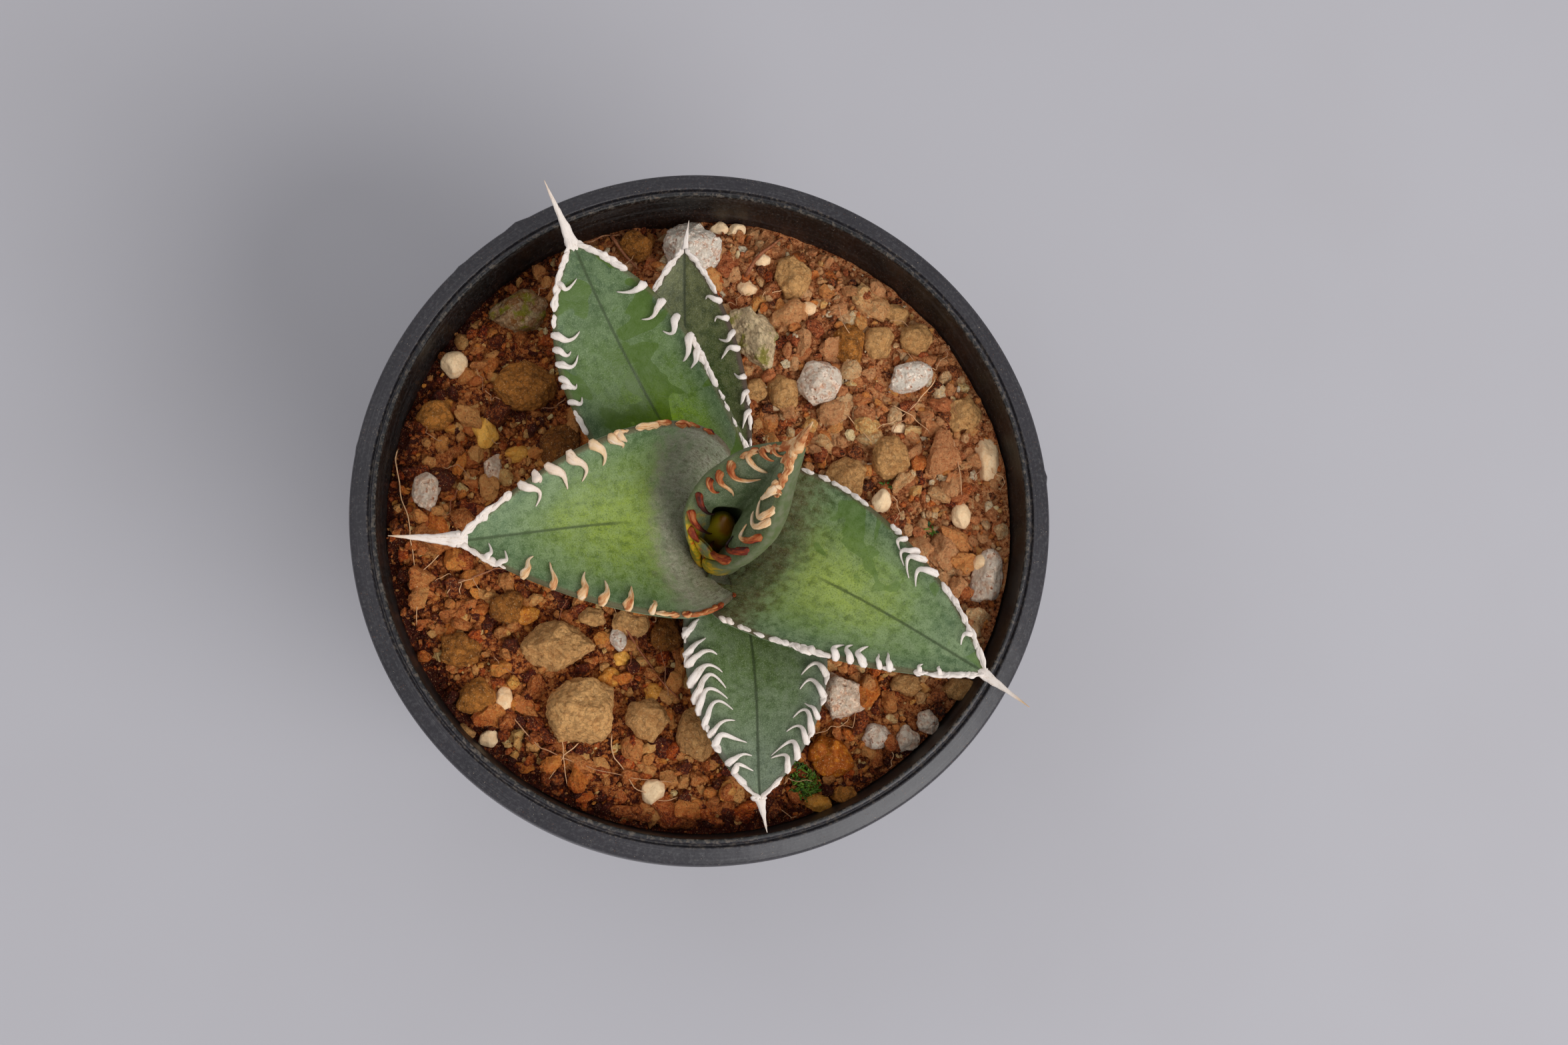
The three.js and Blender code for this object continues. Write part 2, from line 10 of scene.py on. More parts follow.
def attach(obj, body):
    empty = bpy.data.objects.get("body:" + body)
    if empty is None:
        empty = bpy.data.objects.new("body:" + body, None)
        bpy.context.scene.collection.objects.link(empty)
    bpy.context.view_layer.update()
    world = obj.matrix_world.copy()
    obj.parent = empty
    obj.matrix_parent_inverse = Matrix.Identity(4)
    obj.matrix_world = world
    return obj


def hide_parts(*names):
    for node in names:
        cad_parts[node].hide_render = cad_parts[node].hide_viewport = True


# A young potted agave: toothed leaves round a rolled heart leaf, over gritty soil in a black pot.
# Shapes are worked out in millimetres and stored in metres. Z = 0 is under the pot, +Y is up in the photo.

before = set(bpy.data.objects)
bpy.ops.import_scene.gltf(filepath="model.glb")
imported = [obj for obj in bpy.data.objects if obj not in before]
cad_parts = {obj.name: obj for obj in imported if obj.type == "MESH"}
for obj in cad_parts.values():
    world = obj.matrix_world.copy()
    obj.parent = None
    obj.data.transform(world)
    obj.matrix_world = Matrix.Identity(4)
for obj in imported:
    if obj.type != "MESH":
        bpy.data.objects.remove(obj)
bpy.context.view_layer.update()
mm = 0.001
radians = math.radians
seeds = {"noise": 4, "stones": 60, "crumbs": 700, "roots": 77, "moss": 31}


# Repeatable noise for shapes

shuffled = np.random.default_rng(seeds["noise"]).permutation(256)


def lumps(points, seed=0):
    # smooth bumps from -1 to 1, one for each unit cube
    cell = np.floor(points).astype(int)
    part = points - cell
    part = part * part * (3 - 2 * part)
    total = 0
    for corner in itertools.product((0, 1), repeat=3):
        x, y, z = (cell + corner + seed).T % 256
        value = shuffled[(shuffled[(shuffled[x] + y) % 256] + z) % 256] / 127.5 - 1
        total = total + value * np.prod(np.where(corner, part, 1 - part), axis=1)
    return total


def fractal(points, octaves, seed=0):
    return sum(lumps(points * 2**i, seed + 17 * i) / 2**i for i in range(octaves))


def flat(x, y, scale):
    # points of a plane, for noise over it
    return np.column_stack([x / scale, y / scale, np.zeros_like(x)])


def strip(x):
    # points of a line, for noise along it
    return np.column_stack([x, x * 0, x * 0])


def unit(vectors):
    return vectors / np.linalg.norm(vectors, axis=-1, keepdims=True)


def smooth(value, low, high):
    share = np.clip((value - low) / (high - low), 0, 1)
    return share * share * (3 - 2 * share)


# Meshes

def outward(points, faces):
    # turns the faces round if the closed shape is inside out
    a, b, c = (points[faces[0][:, i]] - points.mean(0) for i in range(3))
    around = np.einsum("ij,ij->i", a, np.cross(b, c)).sum()
    return faces if around > 0 else [f[:, ::-1] for f in faces]


def tube(rings):
    # rings: (steps, sides, 3). Gives points and faces, with a fan at each end
    steps, sides, _ = rings.shape
    row = np.arange(steps - 1)[:, None] * sides
    here = np.arange(sides)
    after = (here + 1) % sides
    quads = np.stack([row + here, row + after, row + sides + after, row + sides + here], -1)
    last, middle = (steps - 1) * sides, steps * sides
    first = np.column_stack([after, here, np.full(sides, middle)])
    end = np.column_stack([last + here, last + after, np.full(sides, middle + 1)])
    points = np.vstack([rings.reshape(-1, 3), rings[0].mean(0), rings[-1].mean(0)])
    return points, outward(points, [quads.reshape(-1, 4), np.vstack([first, end])])


class Heap:
    # many small meshes that become one piece
    def __init__(self):
        self.points, self.faces, self.values, self.count = [], [], {}, 0

    def add(self, points, faces, **values):
        self.points.append(points)
        self.faces += [f + self.count for f in faces]
        self.count += len(points)
        for key, value in values.items():
            self.values.setdefault(key, []).append(np.broadcast_to(value, len(points)))

    def piece(self, name, material, smoothFaces=True):
        values = {key: np.concatenate(value) for key, value in self.values.items()}
        points = np.vstack(self.points)
        return makePiece(name, points, self.faces, material, values, smoothFaces=smoothFaces)


def makePiece(name, points, faces, material, values=None, body="root", smoothFaces=True):
    mesh = bpy.data.meshes.new(name)
    corners = np.concatenate([f.ravel() for f in faces])
    sizes = np.concatenate([np.full(len(f), f.shape[1]) for f in faces])
    mesh.vertices.add(len(points))
    mesh.vertices.foreach_set("co", (points * mm).ravel())
    mesh.loops.add(len(corners))
    mesh.loops.foreach_set("vertex_index", corners)
    mesh.polygons.add(len(sizes))
    mesh.polygons.foreach_set("loop_start", np.cumsum(sizes) - sizes)
    mesh.polygons.foreach_set("use_smooth", np.full(len(sizes), smoothFaces))
    mesh.update(calc_edges=True)
    for key, value in (values or {}).items():
        mesh.attributes.new(key, "FLOAT", "POINT").data.foreach_set("value", value.astype(np.float32))
    mesh.materials.append(material)
    piece = bpy.data.objects.new(name, mesh)
    bpy.context.scene.collection.objects.link(piece)
    if body:
        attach(piece, body)
    return piece


def dress(piece, slot, *nodes):
    if nodes:
        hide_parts(*nodes)


# Shader maths

class Wire:
    # one socket of a material, so that shader maths reads as plain sums
    def __init__(self, tree, socket=None):
        self.tree, self.socket = tree, socket

    def node(self, kind, settings=(), inputs=(), out=0):
        made = self.tree.nodes.new(kind)
        for key, value in dict(settings).items():
            if key == "stops":
                setStops(made.color_ramp, value)
            else:
                setattr(made, key, value)
        for key, value in dict(inputs).items():
            if isinstance(value, Wire):
                self.tree.links.new(value.socket, made.inputs[key])
            else:
                made.inputs[key].default_value = value
        return Wire(self.tree, made.outputs[out])

    def sum(self, operation, *values):
        return self.node("ShaderNodeMath", {"operation": operation}, enumerate(values))

    def __add__(self, other):
        return self.sum("ADD", self, other)

    def __sub__(self, other):
        return self.sum("SUBTRACT", self, other)

    def __rsub__(self, other):
        return self.sum("SUBTRACT", other, self)

    def __mul__(self, other):
        return self.sum("MULTIPLY", self, other)

    def __pow__(self, other):
        return self.sum("POWER", self, other)

    def __abs__(self):
        return self.sum("ABSOLUTE", self)

    __radd__ = __add__

    def most(self, other):
        return self.sum("MAXIMUM", self, other)

    def rise(self, low, high):
        # 0 at low, 1 at high, smooth between; low may be the larger
        limits = {"Value": self, "From Min": low, "From Max": high}
        return self.node("ShaderNodeMapRange", {"interpolation_type": "SMOOTHSTEP"}, limits)

    def mix(self, under, over, way="MIX"):
        # this wire as the mask between two colours or values
        settings = {"data_type": "RGBA", "blend_type": way}
        return self.node("ShaderNodeMix", settings, {0: self, 6: under, 7: over}, 2)

    def ramp(self, stops):
        return self.node("ShaderNodeValToRGB", {"stops": stops}, {"Fac": self})

    def value(self, name):
        return self.node("ShaderNodeAttribute", {"attribute_name": name}, out="Fac")

    def place(self, stretch=(1, 1, 1)):
        # the place on the object in millimetres, stretched
        here = self.node("ShaderNodeTexCoord", out="Object")
        by = tuple(s / mm for s in stretch)
        return self.node("ShaderNodeVectorMath", {"operation": "MULTIPLY"}, {0: here, 1: by})

    def stir(self, scale, reach):
        # the same place, moved about by noise
        inputs = {"Vector": self, "Scale": scale, "Detail": 2}
        swirl = self.node("ShaderNodeTexNoise", (), inputs, "Color")
        moved = self.node("ShaderNodeVectorMath", {"operation": "SUBTRACT"}, {0: swirl, 1: (0.5, 0.5, 0.5)})
        moved = self.node("ShaderNodeVectorMath", {"operation": "SCALE"}, {0: moved, "Scale": reach})
        return self.node("ShaderNodeVectorMath", {"operation": "ADD"}, {0: self, 1: moved})

    def parts(self):
        split = self.node("ShaderNodeSeparateXYZ", (), {"Vector": self}).socket.node
        return [Wire(self.tree, split.outputs[i]) for i in range(3)]

    def vector(self, x, y, z):
        return self.node("ShaderNodeCombineXYZ", (), {"X": x, "Y": y, "Z": z})

    def noise(self, scale, detail=3, rough=0.5, warp=0):
        inputs = {"Vector": self, "Scale": scale, "Detail": detail, "Roughness": rough, "Distortion": warp}
        return self.node("ShaderNodeTexNoise", (), inputs)

    def cells(self, scale, out="Distance"):
        return self.node("ShaderNodeTexVoronoi", (), {"Vector": self, "Scale": scale}, out)

    def bump(self, strength, depth, under=None):
        # this wire as height, in millimetres of depth, over another bump
        inputs = {"Strength": strength, "Distance": depth * mm, "Height": self}
        if under:
            inputs["Normal"] = under
        return self.node("ShaderNodeBump", (), inputs)


def setStops(ramp, stops):
    while len(ramp.elements) < len(stops):
        ramp.elements.new(1)
    for element, (place, colour) in zip(ramp.elements, stops):
        element.position = place
        element.color = tone(*colour)


def tone(red, green, blue):
    # a colour given as on screen, from 0 to 255
    def linear(x):
        x = x / 255
        return x / 12.92 if x <= 0.04045 else ((x + 0.055) / 1.055) ** 2.4

    return (linear(red), linear(green), linear(blue), 1)


def toned(look):
    # a look with its triples, which are colours as on screen, as the shader takes them
    return {key: tone(*v) if isinstance(v, tuple) and len(v) == 3 else v for key, v in look.items()}


def layered(colour, *layers):
    # each layer is a mask, the colour that it lays over the rest, and the way if it isn't plain
    for mask, over, *way in layers:
        colour = mask.mix(colour, over, *way)
    return colour


def newMaterial(name, recipe, look=None, **fixed):
    # recipe gives what varies, from its look if it has one; fixed is set on the shader's own sockets
    material = bpy.data.materials.new(name)
    material.use_nodes = True
    tree = material.node_tree
    shader = tree.nodes["Principled BSDF"]
    for key, value in fixed.items():
        shader.inputs[key.replace("_", " ")].default_value = value
    made = recipe(Wire(tree), toned(look)) if look else recipe(Wire(tree))
    for key, value in made.items():
        tree.links.new(value.socket, shader.inputs[key])
    return material


# Camera and light

cameraFacts = {
    "place": (-19.8, -46.2, 351.3),
    "tiltX": 6.22,  # degrees off straight down, towards +X
    "tiltY": 9.27,  # and towards +Y
    "lens": 50,
    "sensor": 36,
    "near": 0.01,
    "far": 20,
}


def makeCamera():
    facts = cameraFacts
    ahead = Vector((math.tan(radians(facts["tiltX"])), math.tan(radians(facts["tiltY"])), -1)).normalized()
    right = (Vector((1, 0, 0)) - ahead * ahead.x).normalized()
    up = right.cross(ahead)
    data = bpy.data.cameras.new("camera")
    data.lens = facts["lens"]
    data.sensor_width = facts["sensor"]
    data.clip_start = facts["near"]
    data.clip_end = facts["far"]
    camera = bpy.data.objects.new("camera", data)
    turn = Matrix((right, up, -ahead)).transposed().to_4x4()
    camera.matrix_world = Matrix.Translation(Vector(facts["place"]) * mm) @ turn
    bpy.context.scene.collection.objects.link(camera)
    bpy.context.scene.camera = camera


# place and size in metres, and power in watts
lampRows = {"key": ((0.8, -0.82, 1.12), 1.15, 17.4), "fill": ((-0.7, 0.3, 1.5), 1.4, 2.2)}
lightFacts = {"aim": (0, 0, 0.07), "sky": (0.86, 0.87, 0.9, 1), "skyStrength": 0.62}


def makeLights():
    for name, (place, size, power) in lampRows.items():
        data = bpy.data.lights.new(name, "AREA")
        data.shape = "DISK"
        data.size = size
        data.energy = power
        light = bpy.data.objects.new(name, data)
        turn = (Vector(lightFacts["aim"]) - Vector(place)).to_track_quat("-Z", "Y")
        light.matrix_world = Matrix.Translation(place) @ turn.to_matrix().to_4x4()
        bpy.context.scene.collection.objects.link(light)
    world = bpy.data.worlds.new("studio")
    world.use_nodes = True
    background = world.node_tree.nodes["Background"]
    background.inputs["Color"].default_value = lightFacts["sky"]
    background.inputs["Strength"].default_value = lightFacts["skyStrength"]
    bpy.context.scene.world = world
    bpy.context.scene.view_settings.view_transform = "Standard"


floorReach = 3000
floorLook = {"paper": (181, 179, 184), "stain": (176, 173, 177)}


def floorRecipe(wire, look):
    stain = wire.place().noise(0.02, 3).rise(0.35, 0.75) * 0.35
    return {"Base Color": stain.mix(look["paper"], look["stain"])}


def makeFloor():
    corners = np.array([(-1, -1, 0), (1, -1, 0), (1, 1, 0), (-1, 1, 0)], float)
    paint = newMaterial("paper", floorRecipe, floorLook, Roughness=0.75)
    floor = makePiece("floor", corners * floorReach, [np.array([[0, 1, 2, 3]])], paint, body=None)


makeCamera()
makeLights()
makeFloor()
print("camera, lights and floor made")

# Leaves. u runs from -1 at the left edge to 1 at the right one, t from 0 at the root to 1 at the tip.
# The blade's edge is so thick, its tip so wide from the middle, and its groove and waves so deep, in mm.
# The groove is so wide, and the waves are so long along the leaf and across it.

bladeFacts = {
    "edge": 0.9, "tipHalf": 0.35, "steps": 130, "cells": 36, "groove": 0.14, "grooveWidth": 0.4,
    "wave": 0.12, "waveLength": 7, "waveWidth": 6,
}


def along(values, t):
    return np.interp(t, np.linspace(0, 1, len(values)), values)


class Leaf:
    # what a leaf's dictionary says takes the place of these
    rolled = None
    spineLift = -bladeFacts["edge"] / 2

    def __init__(self, facts):
        self.__dict__.update(facts)
        self.rib = np.array(facts["rib"], float)
        run = self.rib[3] - self.rib[0]
        heading = math.atan2(run[1], run[0])
        self.level = np.array([math.sin(heading), -math.cos(heading), 0])
        walk = self.curve(np.linspace(0, 1, 60))
        self.length = np.linalg.norm(np.diff(walk, axis=0), axis=1).sum()

    def curve(self, t):
        t = t[:, None]
        weights = ((1 - t) ** 3, 3 * (1 - t) ** 2 * t, 3 * (1 - t) * t * t, t**3)
        return sum(w * p for w, p in zip(weights, self.rib))

    def axes(self, t):
        s = t[:, None]
        weights = (3 * (1 - s) ** 2, 6 * (1 - s) * s, 3 * s * s)
        ahead = unit(sum(w * p for w, p in zip(weights, np.diff(self.rib, axis=0))))
        side = unit(self.level - ahead * (ahead @ self.level)[:, None])
        up = np.cross(side, ahead)
        lean = np.radians(along(self.roll, t))[:, None]
        turned = side * np.cos(lean) + up * np.sin(lean)
        return ahead, turned, up * np.cos(lean) - side * np.sin(lean)

    def halfWidth(self, t, u):
        fall = np.clip((t - self.widest) / (1 - self.widest), 0, 1)
        rising = self.root + (1 - self.root) * np.sin(math.pi / 2 * np.clip(t / self.widest, 0, 1))
        share = np.where(t < self.widest, rising, 1 - fall**self.taper)
        return np.maximum(self.half * share * np.where(u < 0, self.left, 1), bladeFacts["tipHalf"])

    def point(self, t, u, height=0, out=0):
        # raised over the upper face by height, and moved past the edge by out
        t, u, height, out = (np.asarray(x, float) for x in np.broadcast_arrays(t, u, height, out))
        _, side, up = self.axes(t)
        curl = np.radians(along(self.fold, t))
        bend = self.halfWidth(t, u) / curl
        angle = (u * curl)[:, None]
        sine, cosine = np.sin(angle), np.cos(angle)
        across = side * sine + up * (1 - cosine)
        normal = up * cosine - side * sine
        away = (side * cosine + up * sine) * np.where(u < 0, -1, 1)[:, None]
        return self.curve(t) + across * bend[:, None] + normal * height[:, None] + away * out[:, None]

    def face(self, t, u, height=0, out=0, bridge=False):
        # the upper face; the rolled leaf's is fleshy, folded to a crease, and hollow round the bud,
        # unless a tooth that lies on it is to bridge the hollow
        spot = self.point(t, u, height, out)
        if not self.rolled:
            return spot
        t, u = (np.asarray(x, float) for x in np.broadcast_arrays(t, u))
        facts, inward = self.rolled, 1 - np.abs(u)
        left, right = self.point(t, -1), self.point(t, 1)
        middle, rib = (left + right) / 2, self.curve(t)
        crease = rib + (middle - rib) * along(facts["lift"], t)[:, None]
        margin = np.where(u[:, None] < 0, left, right)
        cheek = crease + (margin - crease) * (1 - inward[:, None])
        ahead = self.axes(t)[0]
        bulge = unit(np.cross(ahead, margin - crease))
        bulge = bulge * np.sign((bulge * (middle - cheek)).sum(1))[:, None]
        cheek = cheek + bulge * (facts["bulge"] * np.sin(np.pi * inward))[:, None]
        lip = facts["lip"] * smooth(inward, 0, 0.3) * (1 - smooth(inward, 0.34, 0.62))
        hollow = self.point(t, u, lip)
        # the hollow closes above these parts of the leaf, sooner on the right
        left, right = (smooth(t, *span) for span in facts["closing"])
        share = 1 if bridge else (left + (right - left) * smooth(u, -0.3, 0.3))[:, None]
        return spot - self.point(t, u) + cheek * share + hollow * (1 - share)

    def normal(self, t, u, bridge=False):
        t, u = np.clip(t, 0.006, 0.994), np.clip(u, -0.97, 0.97)
        ahead = self.face(t + 0.005, u, bridge=bridge) - self.face(t - 0.005, u, bridge=bridge)
        across = self.face(t, u + 0.02, bridge=bridge) - self.face(t, u - 0.02, bridge=bridge)
        normal = unit(np.cross(across, ahead))
        inside = self.point(t, u, 1) - self.point(t, u)
        return normal * np.sign((normal * inside).sum(1))[:, None]

    def toothPath(self, side, row, sway):
        # root and tip along the leaf, reach in from the edge in mm, and bow towards the root
        root, tip, reach, bow = row[:4]
        lift, sink, droop = (hornFacts[key] for key in ("lift", "sink", "droop"))
        s = np.linspace(0, 1, hornFacts["toothSteps"])
        swing = (bow + sway[0]) * 4 * s * (1 - s) + sway[1] * np.sin(2 * np.pi * s)
        t = np.clip(root + (tip - root) * s - swing * reach / self.length, 0, 1)
        climb = smooth(s, 0, 0.2)
        height = -sink + (lift + sink) * climb - droop * s**2.2
        u = side * (1 - reach * np.maximum(s - 0.04, 0) / 0.96 / self.halfWidth(t, np.full_like(t, side)))
        normals = self.normal(t, u, bridge=True)
        path = self.face(t, u, 0, 0.08 * (1 - climb), bridge=True) + normals * height[:, None]
        return path, normals, s

    def bladeMesh(self):
        # a closed section with round edges, carried from root to tip
        facts = bladeFacts
        steps, cells, rounding = facts["steps"], facts["cells"], facts["edge"] / 2
        t = np.repeat(np.linspace(0, 1, steps + 1), 2 * cells)
        over = -np.cos(np.pi * np.arange(cells + 1) / cells)
        u = np.tile(np.concatenate([over, over[-2:0:-1]]), steps + 1)
        upper = np.tile(np.concatenate([np.ones(cells + 1), np.zeros(cells - 1)]), steps + 1)
        width = self.halfWidth(t, u)
        edge = (1 - np.abs(u)) * width
        drop = rounding - np.sqrt(np.maximum(rounding**2 - np.maximum(rounding - edge, 0) ** 2, 0))
        depth = facts["edge"] + (along(self.thick, t) - facts["edge"]) * (1 - u * u)
        ahead, across = t * self.length / facts["waveLength"], u * width / facts["waveWidth"]
        waves = np.column_stack([ahead, across, upper * 3])
        relief = facts["wave"] * fractal(waves, 2, self.seed) * np.minimum(1, edge)
        rib = np.exp(-((u * width / facts["grooveWidth"]) ** 2))
        rib = rib * smooth(t, self.ribFrom, self.ribFrom + 0.15)
        relief -= upper * facts["groove"] * rib * smooth(width, 0.8, 2)
        over, below = self.face(t, u, relief - drop), self.point(t, u, drop - depth + relief)
        rings = np.where(upper[:, None] > 0, over, below).reshape(steps + 1, 2 * cells, 3)
        # each value, and what it is at the middle of the root and of the tip
        values = {
            "alongLeaf": (t, (0, 1)), "acrossLeaf": (u, (0, 0)), "edgeMm": (edge, (1, 0)),
            "ribMm": (np.abs(u) * width, (0, 0)), "upperFace": (upper, (0, 0)),
        }
        return *tube(rings), {key: np.append(*pair) for key, pair in values.items()}


def seamMesh(leaf):
    # a pad that joins the two margins at the foot of the roll
    start, end, thick, sag = leaf.rolled["seam"]
    steps, sides = 28, 24
    s = np.linspace(0, 1, steps)
    t = start + (end - start) * s
    angle = 2 * np.pi * np.arange(sides) / sides
    left, right = leaf.point(t, -1), leaf.point(t, 1)
    middle, across = (left + right) / 2, (right - left) / 2
    inward = unit(leaf.curve(t) - middle)
    size = thick * np.sqrt(1 - np.abs(2 * s - 1) ** 3)
    drop = size[:, None] * np.sin(angle) + sag * np.sin(angle) ** 2
    rings = middle[:, None] + across[:, None] * np.cos(angle)[None, :, None]
    points, faces = tube(rings + inward[:, None] * drop[:, :, None])
    inEdge = (1 - np.abs(np.tile(np.cos(angle), steps))) * 2
    return points, faces, {
        "alongLeaf": np.append(np.repeat(t, sides), (start, end)), "edgeMm": np.append(inEdge, (0, 0)),
        "acrossLeaf": np.append(np.full(steps * sides, -0.9), (0, 0)), "ribMm": 5, "upperFace": 1,
    }


# Horn: the chalky border, the teeth and the terminal spine of a leaf

# In mm, a tooth starts sunk in the leaf, lies raised by its lift, droops at its tip, and is thick to its
# deepest. The border is two strands: they start at these angles, twist round once in so many mm, and lie
# off its middle, outwards and upwards, by these shares of its radius.
hornFacts = {
    "sides": 12, "toothSteps": 20, "sink": 0.3, "lift": 0.62, "droop": 0.5, "flare": 0.4, "deepest": 0.36,
    "point": 0.06, "grain": 0.065, "furrow": 0.2, "shortest": 1.5, "step": 0.2, "twist": 5,
    "strands": (0, 2.6), "apart": (0.45, 0.35), "spineRadius": 0.92, "spineSteps": 26, "spineBow": 0.3,
    "spineFurrow": 0.25,
}


def sweep(path, normals, wide, thick, furrow=0, seed=0, sides=hornFacts["sides"]):
    # a horn along a path, with its half width and thickness, a furrow along its back and a chalky grain
    ahead = unit(np.gradient(path, axis=0))
    side = unit(np.cross(ahead, normals))
    up = np.cross(side, ahead)
    angle = 2 * np.pi * np.arange(sides) / sides
    reach = 1 - furrow * np.exp(-((np.cos(angle) / 0.35) ** 2)) * (np.sin(angle) > 0)
    a = side[:, None] * (np.cos(angle) * reach)[None, :, None] * wide[:, None, None]
    b = up[:, None] * (np.sin(angle) * reach)[None, :, None] * thick[:, None, None]
    walked = np.append(0, np.cumsum(np.linalg.norm(np.diff(path, axis=0), axis=1)))
    spot = np.column_stack([
        np.repeat(walked / 1.1, sides), np.tile(np.cos(angle), len(path)), np.tile(np.sin(angle), len(path)),
    ])
    size = 1 + hornFacts["grain"] * 4 * fractal(spot * 1.3, 2, seed)
    return path[:, None] + (a + b) * size.reshape(len(path), -1)[:, :, None], walked


class Horn(Heap):
    def __init__(self, leaf):
        super().__init__()
        self.leaf, self.dice = leaf, np.random.default_rng(leaf.seed)

    def put(self, rings, age, run):
        # age, and millimetres along the horn
        steps, sides, _ = rings.shape
        ages, runs = (np.append(np.repeat(v, sides), (v[0], v[-1])) for v in (age, run))
        ring = np.tile(np.cos(2 * np.pi * np.arange(sides) / sides), steps)
        values = {"hornAge": ages, "hornRun": runs, "hornRound": np.append(ring, (0, 0))}
        self.add(*tube(rings), hornChance=self.dice.random(), **values)

    def ages(self, t):
        return along(self.leaf.ages, t)

    def tooth(self, side, row):
        sway = self.dice.uniform(-0.06, 0.06), self.dice.uniform(-0.05, 0.07)
        path, normals, s = self.leaf.toothPath(side, row, sway)
        facts, wide = hornFacts, row[4]
        # round at the root, flared above it, and drawn out to the tip
        flare = (1 + facts["flare"] * np.exp(-((s / 0.12) ** 2))) * np.clip((s + 0.015) / 0.09, 0, 1) ** 0.5
        width = wide * flare * (1 - s) ** 0.7 * (0.8 + 0.2 * np.cos(3 * s)) + facts["point"]
        thick = np.minimum(facts["deepest"], wide * 0.85) * (1 - s) ** 0.6
        thick = thick * np.clip((s + 0.03) / 0.09, 0, 1) ** 0.5 + facts["point"]
        rings, run = sweep(path, normals, width, thick, facts["furrow"], self.dice.integers(200))
        first, last = row[5:] or (self.ages(row[0]), self.ages(row[0]))
        self.put(rings, first + (last - first) * smooth(s, 0.15, 0.75), run)

    def border(self, side, start, end, radius):
        # a lumpy band along the edge
        leaf, facts = self.leaf, hornFacts
        short = facts["shortest"] - abs(end - start) * leaf.length
        if short > 0:
            # the shortest ones are drawn out along the edge
            reach = math.copysign(short / 2 / leaf.length, end - start)
            start, end, radius = start - reach, end + reach, radius * 0.8
        steps = max(9, int(abs(end - start) * leaf.length / facts["step"]))
        s = np.linspace(0, 1, steps)
        t = start + (end - start) * s
        mark = self.dice.integers(200)
        walk = strip(s * steps * facts["step"]) + 0.5
        swell = 1 + 0.5 * lumps(walk, mark) + 0.22 * lumps(walk * 2.3, mark + 7)
        # thin at both ends, or at its start alone where it runs into the spine
        fromEnd = s if end == 1 else np.minimum(s, 1 - s)
        size = radius * swell * (np.clip(fromEnd * steps / 3, 0, 1) ** 0.5 * 0.8 + 0.2)
        normals = leaf.normal(t, np.full_like(t, side))
        turn = 2 * np.pi * s * abs(end - start) * leaf.length / facts["twist"]
        turn = turn + 3.4 * lumps(walk * 1.3, mark + 3)
        wide, tall = facts["apart"]
        for strand in facts["strands"]:
            away = wide * size * np.cos(turn + strand)
            height = tall * size * np.sin(turn + strand) - 0.1
            path = leaf.point(t, np.full_like(t, side), height, 0.04 + away)
            thin = 0.75 + 0.3 * lumps(walk * 2.1, mark + 11 + int(strand))
            rings, run = sweep(path, normals, size * thin, size * thin * 0.75, facts["furrow"], mark)
            self.put(rings, self.ages(t), run)

    def spine(self):
        leaf, facts = self.leaf, hornFacts
        s = np.linspace(0, 1, facts["spineSteps"])
        end = np.ones(1)
        ahead, _, up = (a[0] for a in leaf.axes(end))
        root = leaf.point(end, 0 * end, leaf.spineLift)[0] - ahead * leaf.spineSink
        bow = (root + leaf.spineTip) / 2 + ahead * facts["spineBow"]
        a, b = (1 - s)[:, None], s[:, None]
        path = a * a * root + 2 * a * b * bow + b**2 * np.array(leaf.spineTip)
        size = facts["spineRadius"] * leaf.spineSize * (0.94 * (1 - s) ** 1.15 + 0.06)
        size *= 1 + 0.2 * np.exp(-(((s - 0.16) / 0.12) ** 2)) - 0.3 * np.exp(-((s / 0.05) ** 2))
        rings, run = sweep(path, up, size, size * 0.85, facts["spineFurrow"], leaf.seed)
        last = self.ages(end)[0]
        self.put(rings, last + (leaf.spineAge - last) * smooth(s, 0.55, 1), run)


